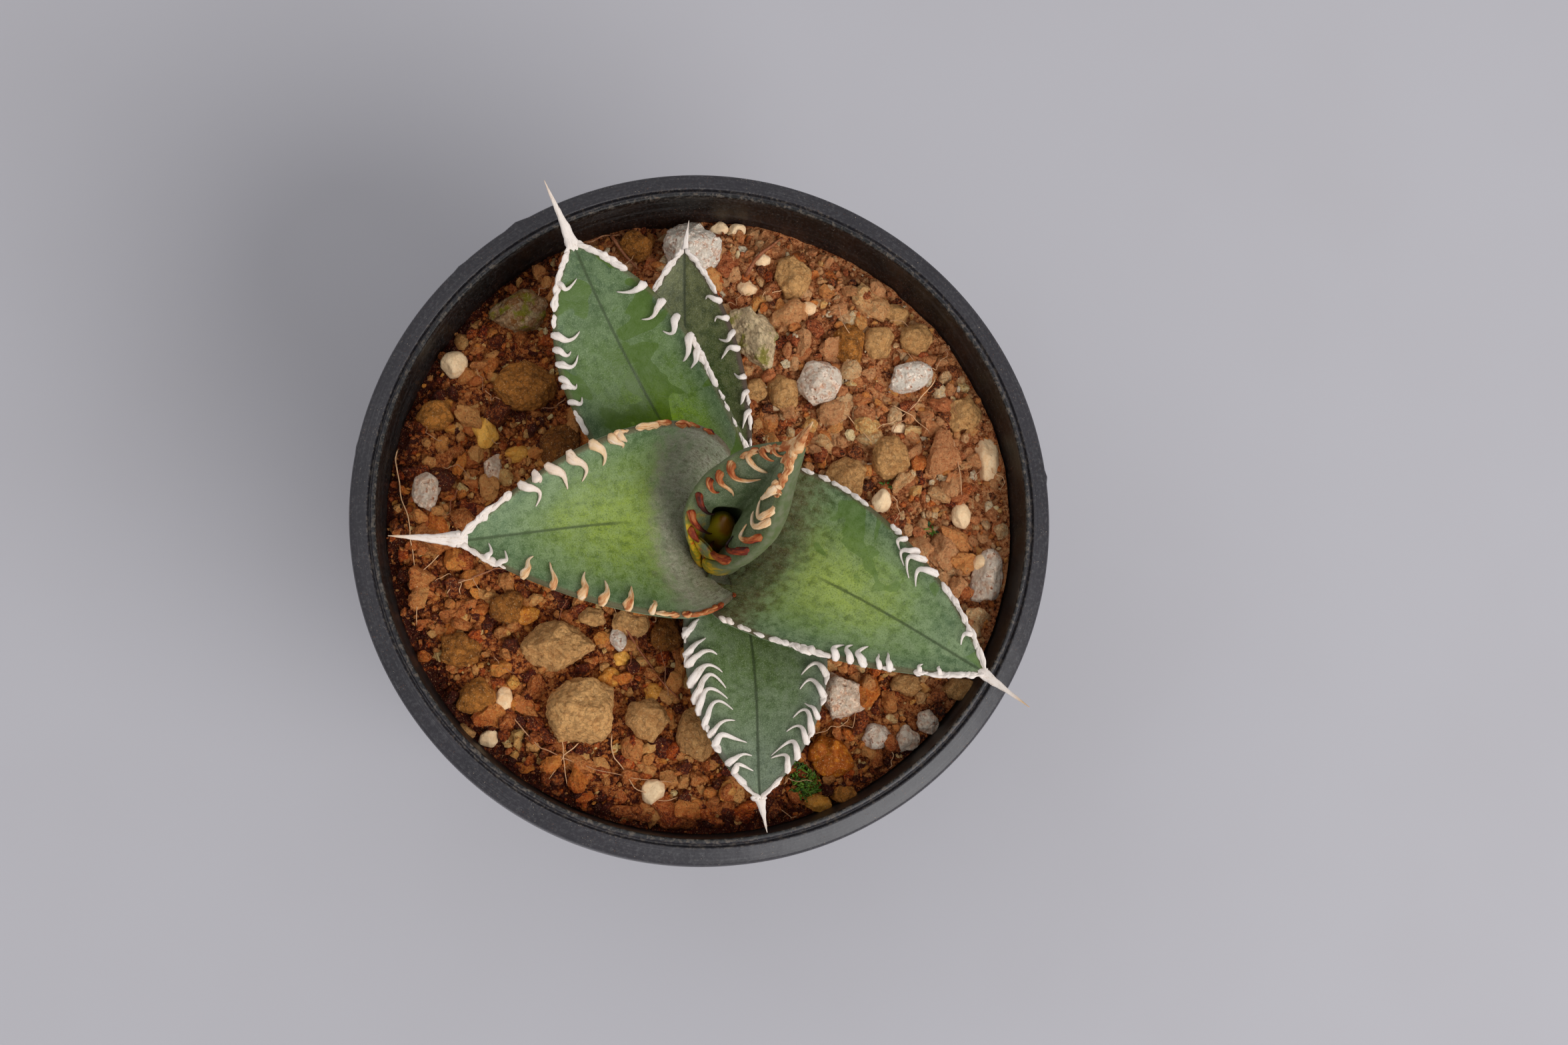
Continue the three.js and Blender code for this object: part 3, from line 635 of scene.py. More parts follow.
# One dictionary for each leaf: the midrib's four guides, the spine's tip, the half width and its form, the
# fold and roll in degrees and the thickness in mm along the leaf, and the age of the horn, 0 when old.
# Teeth: root and tip along the leaf, reach in mm, bow, half width in mm, and for some the ages of the
# root and the tip. Borders: side, from, to, radius in mm.
leafHeart = {
    "rib": [(3.8, -2.7, 75), (2.4, -2.2, 85), (7.7, 0.6, 93), (9, 3.1, 103)],
    "spineTip": (10.3, 5.3, 107.5), "half": 9.75, "root": 0.82, "widest": 0.37, "taper": 1.77, "left": 1.01,
    "fold": [179, 177, 127, 98, 82, 84], "roll": [-2, 6.5, 13, 39], "thick": [0.9, 0.9, 1.1, 1.5, 1.3, 1],
    "rolled": {
        "lift": [0.2, 0.2, 0.3, 0.3, 0.33, 0.33, 0.34, 0.38, 0.5, 0.8, 1], "bulge": 0.5, "lip": 2,
        "closing": ((0.38, 0.52), (0.28, 0.44)), "seam": (0.03, 0.34, 0.62, 0.45),
    },
    "seed": 3, "ribFrom": 2, "ages": [1, 1, 0.9, 0.6, 0.52, 0.56], "spineAge": 0.38, "spineSize": 1.75,
    "spineSink": 3.2, "spineLift": 0.6,
    "teethLeft": [
        (0.9, 0.94, 1.3, 0.1, 0.5, 0.68, 0.62), (0.86, 0.89, 2, 0.1, 0.5, 0.66, 0.6),
        (0.8, 0.8, 4.1, 0.04, 0.42, 0.5, 0.36), (0.73, 0.745, 4.9, 0.25, 0.5, 0.66, 0.5),
        (0.67, 0.59, 4.9, -0.05, 0.42, 0.7, 0.45), (0.61, 0.58, 2.6, 0.12, 0.38, 0.74, 0.7),
        (0.53, 0.46, 4.4, 0.05, 0.42, 0.86, 1), (0.44, 0.33, 4.6, 0.05, 0.44, 0.78, 1),
        (0.36, 0.24, 3, 0.05, 0.36, 0.82, 1),
    ],
    "teethRight": [
        (0.9, 0.83, 1.4, 0, 0.5, 0.6, 0.4), (0.87, 0.71, 4.1, 0.1, 0.5, 0.36, 0.3),
        (0.78, 0.7, 4.2, 0.42, 0.36, 0.4, 0.3), (0.73, 0.63, 4.6, 0.3, 0.42, 0.36, 0.3),
        (0.64, 0.57, 4, 0.42, 0.42, 0.7, 0.36), (0.55, 0.46, 4.3, 0.5, 0.45, 0.84, 1),
        (0.43, 0.25, 5.2, 0.3, 0.45, 0.8, 0.95),
    ],
    "borders": [(-1, 0.76, 1, 0.42), (1, 0.82, 1, 0.5)],
}
leafWest = {
    "rib": [(-2, -2, 75), (-5, -1, 84), (-20, -4.5, 89), (-31, -5.5, 88)],
    "spineTip": (-39.2, -4.9, 88.4), "half": 13.4, "root": 0.83, "widest": 0.24, "taper": 1.53, "left": 1.03,
    "fold": [72, 46, 26, 26], "roll": [5.8, 5.8], "thick": [2.4, 3.2, 2.8, 2, 1.2],
    "seed": 11, "ribFrom": 0.34, "ages": [0.8, 0.78, 0.72, 0.62, 0.4, 0.34, 0.26, 0.16, 0.08, 0.04, 0.02],
    "spineAge": 0.3, "spineSize": 1, "spineSink": 1.3,
    "teethLeft": [
        (0.91, 0.89, 2.2, 0.25, 0.3), (0.88, 0.84, 2.3, 0.35, 0.3), (0.8, 0.75, 3.3, 0.05, 0.45, 0.4, 0.3),
        (0.71, 0.7, 3.4, 0.05, 0.4, 0.5, 0.36), (0.63, 0.59, 3.8, 0.08, 0.55, 0.44, 0.32),
        (0.57, 0.53, 3.4, 0.1, 0.5, 0.42, 0.34), (0.49, 0.44, 3.6, 0.08, 0.55, 0.52, 0.4),
        (0.41, 0.38, 1.9, 0.1, 0.4),
    ],
    "teethRight": [
        (0.77, 0.72, 3.7, 0.25, 0.5), (0.72, 0.7, 1.2, 0.2, 0.62), (0.68, 0.61, 4.2, 0.2, 0.62),
        (0.61, 0.56, 4.3, 0.24, 0.62), (0.54, 0.49, 3.6, 0.22, 0.6), (0.48, 0.43, 2.2, 0.15, 0.5),
        (0.455, 0.42, 1.5, 0, 0.45),
    ],
    "borders": [
        (-1, 0.845, 1, 0.4), (1, 0.795, 1, 0.48), (-1, 0.395, 0.31, 0.42), (-1, 0.3, 0.115, 0.4),
        (-1, 0.04, 0, 0.5), (1, 0.4, 0.292, 0.45), (1, 0.28, 0.2, 0.42), (1, 0.188, 0.145, 0.34),
        (1, 0.47, 0.42, 0.4),
    ],
}
leafSouthEast = {
    "rib": [(3.5, -4.5, 74), (10.5, -5.5, 80), (26, -17, 87), (33.5, -22, 88)],
    "spineTip": (38.4, -26.4, 90), "half": 11.6, "root": 0.74, "widest": 0.19, "taper": 1.76, "left": 1.05,
    "fold": [52, 30, 20, 26], "roll": [4, 4], "thick": [2.4, 3, 2.6, 1.9, 1.2],
    "seed": 23, "ribFrom": 0.3, "ages": [0.2, 0.05, 0, 0, 0, 0], "spineAge": 0.45, "spineSize": 0.72,
    "spineSink": 1,
    "teethLeft": [
        (0.88, 0.86, 2.1, 0.3, 0.3), (0.68, 0.64, 3.1, 0.42, 0.38), (0.63, 0.61, 3.1, 0.5, 0.36),
        (0.6, 0.58, 2.5, 0.5, 0.36), (0.55, 0.55, 1.5, 0.45, 0.32),
    ],
    "teethRight": [
        (0.86, 0.84, 1.2, 0.2, 0.24), (0.8, 0.79, 1.3, 0.2, 0.26), (0.72, 0.68, 2.3, 0.15, 0.38),
        (0.69, 0.66, 1.9, 0.1, 0.3), (0.65, 0.62, 2.7, 0.35, 0.46), (0.61, 0.58, 2.4, 0.3, 0.42),
        (0.57, 0.56, 2.1, 0.38, 0.46),
    ],
    "borders": [
        (-1, 0.7, 0.84, 0.34), (-1, 0.82, 1, 0.4), (-1, 0.735, 0.725, 0.3), (-1, 0.222, 0.205, 0.4),
        (-1, 0.275, 0.255, 0.4), (-1, 0.315, 0.3, 0.38), (-1, 0.34, 0.325, 0.4), (-1, 0.375, 0.36, 0.38),
        (-1, 0.4, 0.383, 0.34), (-1, 0.52, 0.5, 0.42), (1, 0.78, 1, 0.38), (1, 0.235, 0.17, 0.36),
        (1, 0.298, 0.248, 0.36), (1, 0.342, 0.31, 0.34), (1, 0.43, 0.36, 0.36), (1, 0.55, 0.42, 0.46),
        (1, 0.72, 0.7, 0.36),
    ],
}
leafNorthWest = {
    "rib": [(2, 1, 74), (-4.5, 8, 78), (-12.5, 22, 85), (-17, 32.5, 87)],
    "spineTip": (-20.5, 39.7, 89.3), "half": 8.6, "root": 0.86, "widest": 0.5, "taper": 2.1, "left": 1.08,
    "fold": [52, 32, 22, 26], "roll": [5.3, 5.3], "thick": [2.2, 2.8, 2.4, 1.8, 1.2],
    "seed": 37, "ribFrom": 0.3, "ages": [0, 0], "spineAge": 0.2, "spineSize": 0.85, "spineSink": 1.2,
    "teethLeft": [
        (0.9, 0.88, 2.7, 0.36, 0.34), (0.76, 0.73, 3.6, 0.26, 0.46), (0.72, 0.69, 2, 0.35, 0.36),
        (0.68, 0.67, 2.9, 0.3, 0.4), (0.64, 0.6, 1.6, 0.5, 0.4), (0.615, 0.6, 1.2, 0.3, 0.4),
        (0.57, 0.56, 1.6, 0.4, 0.34),
    ],
    "teethRight": [
        (0.78, 0.79, 3.3, 0.22, 0.46), (0.71, 0.68, 3.7, 0.12, 0.46), (0.65, 0.62, 2.5, 0.45, 0.46),
        (0.58, 0.51, 2.4, 0.3, 0.5), (0.53, 0.48, 1.9, 0.3, 0.36),
    ],
    "borders": [
        (-1, 0.815, 1, 0.44), (-1, 0.8, 0.78, 0.4), (-1, 0.54, 0.46, 0.34), (1, 0.838, 1, 0.5),
        (1, 0.58, 0.39, 0.36), (1, 0.37, 0.352, 0.34), (1, 0.33, 0.31, 0.3), (1, 0.27, 0.25, 0.3),
        (1, 0.22, 0.12, 0.26), (-1, 0.43, 0.4, 0.34),
    ],
}
leafSouth = {
    "rib": [(2.5, -6.5, 72.8), (7.5, -12, 74.5), (5.7, -28, 79.5), (6, -36.8, 82)],
    "spineTip": (6.8, -40.9, 82), "half": 8.95, "root": 0.71, "widest": 0.45, "taper": 1.95, "left": 1.04,
    "fold": [44, 26, 18, 20], "roll": [3.5, 3.5], "thick": [1.8, 2.4, 2.4, 1.8, 1.2],
    "seed": 41, "ribFrom": 0.2, "ages": [0, 0], "spineAge": 0.1, "spineSize": 0.78, "spineSink": 1,
    "teethLeft": [
        (0.89, 0.83, 3.2, 0.3, 0.32), (0.84, 0.82, 3.4, 0.5, 0.36), (0.78, 0.73, 3.2, 0.35, 0.36),
        (0.75, 0.68, 3.1, 0.5, 0.38), (0.69, 0.63, 2.2, 0.15, 0.3), (0.62, 0.58, 3.2, 0.4, 0.36),
        (0.55, 0.53, 3.2, 0.4, 0.38),
    ],
    "teethRight": [
        (0.9, 0.88, 2.7, 0.35, 0.32), (0.86, 0.82, 4, 0.12, 0.34), (0.8, 0.77, 4.4, 0.2, 0.42),
        (0.76, 0.69, 4.3, 0.12, 0.32), (0.73, 0.65, 4.6, 0.42, 0.36), (0.68, 0.61, 4.4, 0.42, 0.38),
        (0.64, 0.57, 4.6, 0.45, 0.46), (0.58, 0.51, 4.6, 0.38, 0.5), (0.5, 0.44, 4.2, 0.3, 0.46),
        (0.46, 0.37, 2.8, 0.2, 0.42), (0.37, 0.28, 1.9, 0.3, 0.4), (0.34, 0.3, 1.6, -0.2, 0.4),
    ],
    "borders": [
        (1, 0.885, 1, 0.42), (-1, 0.905, 1, 0.36), (1, 0.805, 0.785, 0.5), (1, 0.745, 0.7, 0.4),
        (1, 0.5, 0.44, 0.36), (1, 0.39, 0.36, 0.4), (-1, 0.75, 0.735, 0.4), (-1, 0.63, 0.61, 0.38),
        (-1, 0.56, 0.54, 0.36),
    ],
}
leafNorth = {
    "rib": [(0.5, 0.5, 72.8), (-2.5, 8, 74), (-2.5, 24.5, 78.5), (-2.6, 33.5, 81)],
    "spineTip": (-2, 37.2, 81.5), "half": 8, "root": 0.63, "widest": 0.37, "taper": 2.15, "left": 1.03,
    "fold": [46, 30, 24, 26], "roll": [3.5, 3.5], "thick": [1.6, 2.2, 2.2, 1.7, 1.1],
    "seed": 53, "ribFrom": 0.2, "ages": [0, 0], "spineAge": 0.1, "spineSize": 0.5, "spineSink": 0.6,
    "teethLeft": [(0.72, 0.7, 1.8, 0.2, 0.34), (0.62, 0.6, 2, 0.2, 0.34), (0.5, 0.47, 1.6, 0.2, 0.3)],
    "teethRight": [
        (0.79, 0.8, 1.7, -0.3, 0.34), (0.73, 0.72, 1.8, -0.2, 0.3), (0.69, 0.66, 2.1, 0.4, 0.32),
        (0.62, 0.59, 2.5, -0.2, 0.34), (0.53, 0.54, 1.2, 0.2, 0.28), (0.48, 0.43, 1, 0.3, 0.28),
        (0.41, 0.34, 1, 0.2, 0.26),
    ],
    "borders": [
        (-1, 0.79, 1, 0.34), (1, 0.82, 1, 0.36), (1, 0.46, 0.43, 0.28), (1, 0.4, 0.33, 0.28),
        (1, 0.3, 0.24, 0.26), (1, 0.2, 0.12, 0.26),
    ],
}


def leafRecipe(wire, look):
    t, u = wire.value("alongLeaf"), wire.value("acrossLeaf")
    edge, rib, upper = wire.value("edgeMm"), wire.value("ribMm"), wire.value("upperFace")
    place = wire.place()
    mottle = place.noise(0.9, 4, 0.6)
    speck = place.noise(5.5, 2, 0.7)
    wobble = (place.noise(0.22, 3) - 0.5) * 0.5
    blot, grain = mottle - 0.5, speck - 0.5
    side = abs(u)
    # bluer towards the edges and the tip, with a yellow glow between
    outer = (1 - (edge + wobble * 3).rise(0.2, look["blueIn"])).most((t + wobble * 0.4).rise(0.5, 0.92))
    swayed = t + wobble * 0.3
    glow = swayed.rise(*look["glowFrom"]) * swayed.rise(*look["glowTo"])
    glow = glow * (side + wobble * 0.5).rise(0.85, 0.05)
    # wetter patches are darker, with a crisp edge
    wet = (place.noise(0.17, 2, 0.45, 0.6) + blot * 0.03).rise(0.55, 0.562) * look["wet"]
    wet = wet * u.rise(*look["wetSide"])
    # bloom and dark specks towards the heart, the specks drawn out along the leaf. The bloom's tone is partly
    # painted light and shade: paler on the west leaf to lighten the heart leaf's shadow there, and darker at
    # the south east leaf's base as painted shade
    near = (t + blot * 0.16 + wobble * 0.1).rise(*look["bloomTo"])
    drawn = wire.vector(t * 30, side * 34, u * 8).noise(1.3, 4, 0.75)
    dots = (speck * 0.5 + drawn * 0.5).rise(*look["dotFrom"])
    dots = dots * (t + blot * 0.24).rise(look["bloomTo"][0] + 0.1, 0.04)
    # a film that comes off in patches, streaks along the leaf, and finer stipple
    film = (place.noise(0.42, 4, 0.62) + grain * 0.12).rise(0.47, 0.56) * (1 - glow * 0.6) * (1 - near * 0.5)
    deep = (place.noise(0.6, 4, 0.65) + grain * 0.1).rise(0.46, 0.38)
    streak = wire.vector(t * 5, side * 9, u * 2).noise(1.2, 4, 0.62)
    stipple = place.noise(6.5, 3, 0.75).rise(0.53, 0.63)
    # the line of the midrib and the dry line along the edge
    begin = look["ribFrom"]
    line = (rib + blot * 0.2).rise(0.3, 0.04) * (t + wobble * 0.1).rise(begin, begin + 0.12)
    rim = (edge + grain * 0.5).rise(0.75, 0.2)
    colour = layered(
        look["green"],
        (outer, look["blue"]),
        (glow * look["glowShare"], look["glow"]),
        (near * look["bloomShare"], look["bloom"]),
        (dots * look["dotShare"], look["dotTone"]),
        (film * look["film"], look["pale"]),
        (deep * look["deep"], look["darkDot"]),
        (streak.rise(0.42, 0.66) * 0.26, look["darkDot"]),
        (mottle.rise(0.35, 0.7) * (0.42 - glow * 0.22) * (1 - near * 0.4), look["pale"]),
        (mottle.rise(0.5, 0.3) * 0.38 * (1 - near * 0.6), look["darkDot"]),
        (stipple * look["stipple"], look["paleDot"]),
        (speck.rise(0.5, 0.34) * 0.45, look["darkDot"]),
        (wet * 0.85, (mottle * 0.4).mix(look["wetTone"], look["green"])),
        (line * (0.4 + mottle * 0.6), look["line"]),
        (rim * look["rimShare"], look["rim"]),
    )
    under = mottle.rise(0.3, 0.7).mix(look["under"], look["underPale"])
    if "heartGold" in look:
        # the golden foot of the heart leaf, on both faces
        low, border = t + wobble * 0.15, edge + blot * 3
        gold = low.rise(0.46, 0.34) * border.rise(2.4, 0.5) * u.rise(-0.2, -0.6).most(t.rise(0.3, 0.22))
        amber = mottle.rise(0.42, 0.6).mix(look["heartGold"], look["heartAmber"])
        colour = gold.mix(colour, place.noise(0.5, 2).rise(0.55, 0.65).mix(amber, look["heartRust"]))
        under = (low.rise(0.34, 0.26) * border.rise(3, 1)).mix(under, amber)
    colour = upper.rise(0.1, 0.6).mix(under, colour)
    rough = 0.4 + mottle * 0.22 - wet * 0.2 + rim * 0.15
    skin = speck.bump(0.35, 0.05, mottle.bump(0.5, 0.12))
    return {"Base Color": colour, "Roughness": rough, "Normal": skin}


def leafLook(**changes):
    return {
        "green": (92, 116, 46), "blue": (86, 110, 74), "blueIn": 4.5,
        "glow": (134, 152, 48), "glowFrom": (0.12, 0.34), "glowTo": (0.85, 0.5), "glowShare": 0.9,
        "wet": 0, "wetSide": (-3, -2), "wetTone": (74, 98, 24),
        "bloom": (204, 188, 172), "bloomTo": (0.34, 0.2), "bloomShare": 0.9,
        "dotTone": (84, 64, 46), "dotShare": 0.8, "dotFrom": (0.5, 0.6),
        "pale": (132, 150, 108), "paleDot": (170, 182, 146), "darkDot": (52, 76, 26),
        "stipple": 0.25, "film": 0.3, "deep": 0.25, "line": (44, 58, 24), "ribFrom": 0.36,
        "rim": (84, 66, 44), "rimShare": 0.75, "under": (104, 122, 90), "underPale": (128, 142, 110),
        **changes,
    }


looks = {
    # the west leaf's pale bloom is partly painted light, lifting the heart leaf's shadow
    "West": leafLook(
        green=(88, 112, 46), bloom=(190, 180, 168), bloomShare=0.74, dotTone=(82, 60, 42),
        dotFrom=(0.48, 0.57)),
    # the south east leaf's dark bloom is partly painted shade at its base beside the heart
    "SouthEast": leafLook(
        green=(108, 136, 72), blue=(90, 112, 80), glow=(172, 190, 84), glowFrom=(0.14, 0.36),
        glowTo=(0.8, 0.44), bloom=(106, 84, 46), bloomTo=(0.32, 0.2), dotTone=(50, 30, 14), dotShare=1,
        dotFrom=(0.4, 0.5), ribFrom=0.32, wet=0.7, wetSide=(-0.05, -0.3), wetTone=(84, 112, 34),
        pale=(146, 164, 120), film=0.36),
    "NorthWest": leafLook(
        green=(84, 110, 34), blue=(70, 90, 62), glow=(154, 190, 6), glowFrom=(0, 0.05),
        glowTo=(0.56, 0.3), glowShare=0.95, wet=0.85, wetTone=(66, 92, 8), bloomShare=0.1, dotShare=0.1,
        ribFrom=0.3, rimShare=0.5, pale=(114, 134, 92), film=0.4, deep=0.2),
    "South": leafLook(
        green=(90, 112, 60), blue=(112, 124, 104), glow=(78, 96, 38), glowFrom=(0, 0.05),
        glowTo=(0.62, 0.4), glowShare=0.8, bloomShare=0, dotShare=0.1, pale=(130, 142, 114), stipple=0.34,
        ribFrom=0.22, line=(34, 44, 20), rim=(96, 92, 80), rimShare=0.7, darkDot=(56, 70, 40)),
    "North": leafLook(
        green=(64, 78, 26), blue=(78, 80, 44), blueIn=2.5, glow=(56, 74, 14), glowFrom=(0, 0.05),
        glowTo=(0.7, 0.5), bloomShare=0, dotShare=0.1, pale=(118, 120, 78), stipple=0.36,
        paleDot=(150, 156, 128), ribFrom=0.2, line=(26, 34, 12), rim=(76, 60, 50), rimShare=0.95,
        darkDot=(40, 50, 24)),
    "Heart": leafLook(
        green=(84, 100, 64), blue=(98, 108, 80), glow=(72, 86, 46), glowShare=0.5, bloomShare=0.3,
        bloom=(108, 110, 80), bloomTo=(0.5, 0.3), dotShare=0.4, pale=(116, 122, 96), ribFrom=3,
        rim=(92, 100, 40), rimShare=0.35, under=(84, 96, 58), underPale=(106, 108, 82),
        heartGold=(196, 152, 16), heartAmber=(134, 126, 16), heartRust=(190, 84, 10),
        darkDot=(50, 66, 34)),
}


def hornRecipe(wire, look):
    age, chance = wire.value("hornAge"), wire.value("hornChance")
    run, around = wire.value("hornRun"), wire.value("hornRound")
    # streaks lie along the horn, and flakes across them
    lines = wire.vector(run * 0.55, around * 1.9, chance * 60).noise(1.6, 4, 0.66)
    flakes = wire.vector(run * 1.7, around * 1.3, chance * 40).noise(1.3, 3, 0.6)
    fine = wire.place().noise(9, 3, 0.6)
    patch = wire.vector(run * 0.5, around * 0.8, chance * 30).noise(1, 3, 0.6)
    middle = age.rise(0.2, 0.45) * age.rise(0.92, 0.76)
    kind = age + (lines - 0.5) * (0.3 - age.rise(0.7, 0.9) * 0.2) + (flakes - 0.5) * 0.14
    kind = kind + (chance - 0.5) * 0.05 + (patch - 0.5) * middle * 1.1
    # grey brown furrows, fewer on young horn
    furrow = lines.rise(0.57, 0.66) * flakes.rise(0.35, 0.55) * age.rise(0.8, 0.3)
    colour = layered(
        kind.ramp(look["stops"]),
        (furrow * 0.42, look["furrow"]),
        (fine.rise(0.6, 0.72) * age.rise(0.6, 0.1) * 0.3, look["fine"]),
    )
    rough = 0.56 + flakes * 0.24 - age.rise(0.75, 1) * 0.32
    skin = fine.bump(0.3, 0.05, lines.bump(0.6, 0.16))
    return {"Base Color": colour, "Roughness": rough, "Normal": skin}


hornLook = {
    # from the chalk of old horn to the near black of the youngest
    "stops": [
        (0, (236, 224, 214)), (0.2, (230, 206, 184)), (0.36, (228, 194, 150)),
        (0.5, (212, 158, 106)), (0.62, (174, 106, 60)), (0.74, (156, 76, 30)),
        (0.84, (124, 40, 10)), (0.93, (56, 13, 7)), (1, (28, 8, 8)),
    ],
    "furrow": (150, 118, 100), "fine": (130, 104, 92),
}
hornPaint = newMaterial("horn", hornRecipe, hornLook, Specular_IOR_Level=0.3)
# each leaf's facts, its node and its slot
leafRows = {
    "Heart": (leafHeart, "leaf_heart", "leaf_young"), "West": (leafWest, "leaf_west", "leaf_green"),
    "SouthEast": (leafSouthEast, "leaf_south_east", "leaf_green"),
    "NorthWest": (leafNorthWest, "leaf_north_west", "leaf_wet"),
    "South": (leafSouth, "leaf_south", "leaf_blue"), "North": (leafNorth, "leaf_north", "leaf_dark"),
}
for name, (facts, node, slot) in leafRows.items():
    leaf = Leaf(facts)
    blade = Heap()
    for points, faces, values in [leaf.bladeMesh()] + ([seamMesh(leaf)] if leaf.rolled else []):
        blade.add(points, faces, **values)
    paint = newMaterial("leaf" + name, leafRecipe, looks[name], Specular_IOR_Level=0.3)
    dress(blade.piece("leaf" + name, paint), slot, node)
    horn = Horn(leaf)
    for side, rows in ((-1, facts["teethLeft"]), (1, facts["teethRight"])):
        for row in rows:
            horn.tooth(side, row)
    for band in facts["borders"]:
        horn.border(*band)
    horn.spine()
    dress(horn.piece("teeth" + name, hornPaint), "horn", node.replace("leaf", "teeth"))
print("leaves made")


# Rocks: a ball cut by flats, and roughened

def ball(cuts):
    # an icosphere of radius 1
    shape = bmesh.new()
    bmesh.ops.create_icosphere(shape, subdivisions=cuts, radius=1)
    points = np.array([v.co for v in shape.verts])
    faces = np.array([[v.index for v in f.verts] for f in shape.faces])
    shape.free()
    return unit(points), faces


balls = {cuts: ball(cuts) for cuts in (1, 2, 3, 4, 5, 6)}


def rock(cuts, dice, flats, depth, rough, fine, grains=0, size=1):
    # a rock that fills a box from -1 to 1: a ball cut by flats, the deepest at the depth given, made
    # rough by lumps, fine to a radius, and by packed grains of some 0.6 mm where its radius is size
    points, faces = balls[cuts]
    ways = unit(dice.normal(size=(flats, 3)))
    facing = np.maximum(points @ ways.T, 0.05)
    reach = np.minimum((dice.uniform(depth, 0.97, flats) / facing).min(axis=1), 1)
    start = dice.uniform(0, 90, 3)
    if cuts > 1:
        lumpy = 1.6 * lumps(points * 1.5 + start) + fractal(points * fine + start, 1 if cuts < 3 else 3)
        reach = reach * (1 + rough * lumpy)
    if grains:
        packed = np.abs(lumps(points * size / 0.75 + start, 5))
        packed = packed + 0.6 * np.abs(lumps(points * size / 0.4 + start, 8))
        reach = reach + grains * packed / size
    shaped = points * reach[:, None]
    low, high = shaped.min(0), shaped.max(0)
    return (shaped - (low + high) / 2) / ((high - low) / 2), faces


def turnTable(yaw, pitch=0, roll=0):
    return np.array(Euler((roll, pitch, yaw)).to_matrix())


# Pot

soilLevel = 71.3
# radii and heights in mm; the notches in the foot ring are boxes of the size given
potFacts = {
    "sides": 300, "foot": 29.5, "base": 32, "shoulder": 42.2, "shoulderZ": 70, "rim": 45, "top": 78,
    "mouth": 41.5, "floor": 2.8, "under": 1.5, "wall": 1.2, "bevel": 0.22, "notch": (10, 6, 2.2),
    "notchIn": 1.25, "drains": 4, "drainRadius": 3.2, "drainCircle": 20,
}
# angle in degrees, height in mm and width in degrees of the moulding flashes on the rim's edge
potNubs = [(169.6, 0.2, 0.4), (21.1, 0.32, 0.4), (5.7, 0.26, 0.4), (122.4, 0.3, 1.3), (134.6, 0.12, 0.4)]


def softened(profile, radius):
    # the profile with its corners rounded in four steps
    corners = np.array(profile, float)
    made = [corners[0]]
    for before, here, after in zip(corners, corners[1:], corners[2:]):
        into, out = before - here, after - here
        cut = min(radius, np.linalg.norm(into) * 0.45, np.linalg.norm(out) * 0.45)
        start, end = here + unit(into) * cut, here + unit(out) * cut
        for s in np.linspace(0, 1, 5):
            made.append((1 - s) ** 2 * start + 2 * s * (1 - s) * here + s * s * end)
    made.append(corners[-1])
    return np.array(made)


def lathe(profile, sides, middle=(0, 0), swell=None):
    # profile: radius and height, starting and ending on the axis
    angle = 2 * np.pi * np.arange(sides) / sides
    radius = profile[1:-1, :1] * np.ones(sides)
    height = profile[1:-1, 1:] * np.ones(sides)
    if swell:
        radius, height = swell(radius, height, angle[None, :] * np.ones_like(radius))
    x, y = middle[0] + radius * np.cos(angle), middle[1] + radius * np.sin(angle)
    points, faces = tube(np.stack([x, y, height], -1))
    points[-2] = (*middle, profile[0][1])
    points[-1] = (*middle, profile[-1][1])
    return points, faces


def circled(angle, height, size):
    # points of a circle of this size, for noise round a piece
    return np.column_stack([np.cos(angle).ravel() * size, np.sin(angle).ravel() * size, height.ravel()])


def potMesh():
    f = potFacts
    foot, base, shoulder, rim, mouth = (f[key] for key in ("foot", "base", "shoulder", "rim", "mouth"))
    under, bend, top, floor, within = f["under"], f["shoulderZ"], f["top"], f["floor"], base - f["wall"]
    profile = softened([
        (0, under), (foot - 0.3, under), (foot, 0), (base - 0.4, 0), (base, 0.4),
        *((base + (shoulder - 0.4 - base) * z / bend, z) for z in (4, 20, 45)),
        (shoulder - 0.4, bend - 1), (shoulder, bend), (rim - 0.5, bend), (rim, bend + 0.8), (rim, top - 1.75),
        (rim - 0.2, top - 1.25), (rim - 2.3, top - 0.42), (rim - 2.48, top - 0.95), (rim - 2.72, top - 0.95),
        (rim - 2.84, top - 0.1), (rim - 3.3, top), (mouth + 0.05, top - 0.25), (mouth - 0.5, soilLevel),
        (within, floor + 1.2), (within - 1.2, floor), (0, floor),
    ], f["bevel"])

    def swell(radius, height, angle):
        # a slightly uneven rim with moulding flashes
        high = smooth(height, 60, 74)
        spot = circled(angle, height / 30, 2.2)
        radius = radius + 0.14 * high * lumps(spot, 9).reshape(radius.shape)
        height = height + 0.12 * high * lumps(spot * 1.3, 31).reshape(radius.shape)
        edge = smooth(radius, rim - 0.5, rim - 0.2) * smooth(height, top - 3.2, top - 2)
        for way, reach, wide in potNubs:
            off = (np.degrees(angle) - way + 180) % 360 - 180
            radius = radius + edge * reach * np.exp(-((off / wide) ** 4))
        return radius, height

    return lathe(profile, f["sides"], swell=swell)


def cutAway(piece, cutters):
    for cutter in cutters:
        modifier = piece.modifiers.new("cut", "BOOLEAN")
        modifier.object, modifier.operation, modifier.solver = cutter, "DIFFERENCE", "EXACT"
    bpy.context.view_layer.update()
    cut = bpy.data.meshes.new_from_object(piece.evaluated_get(bpy.context.evaluated_depsgraph_get()))
    piece.modifiers.clear()
    piece.data = cut
    cut.set_sharp_from_angle(angle=radians(35))
    for cutter in cutters:
        bpy.data.objects.remove(cutter)


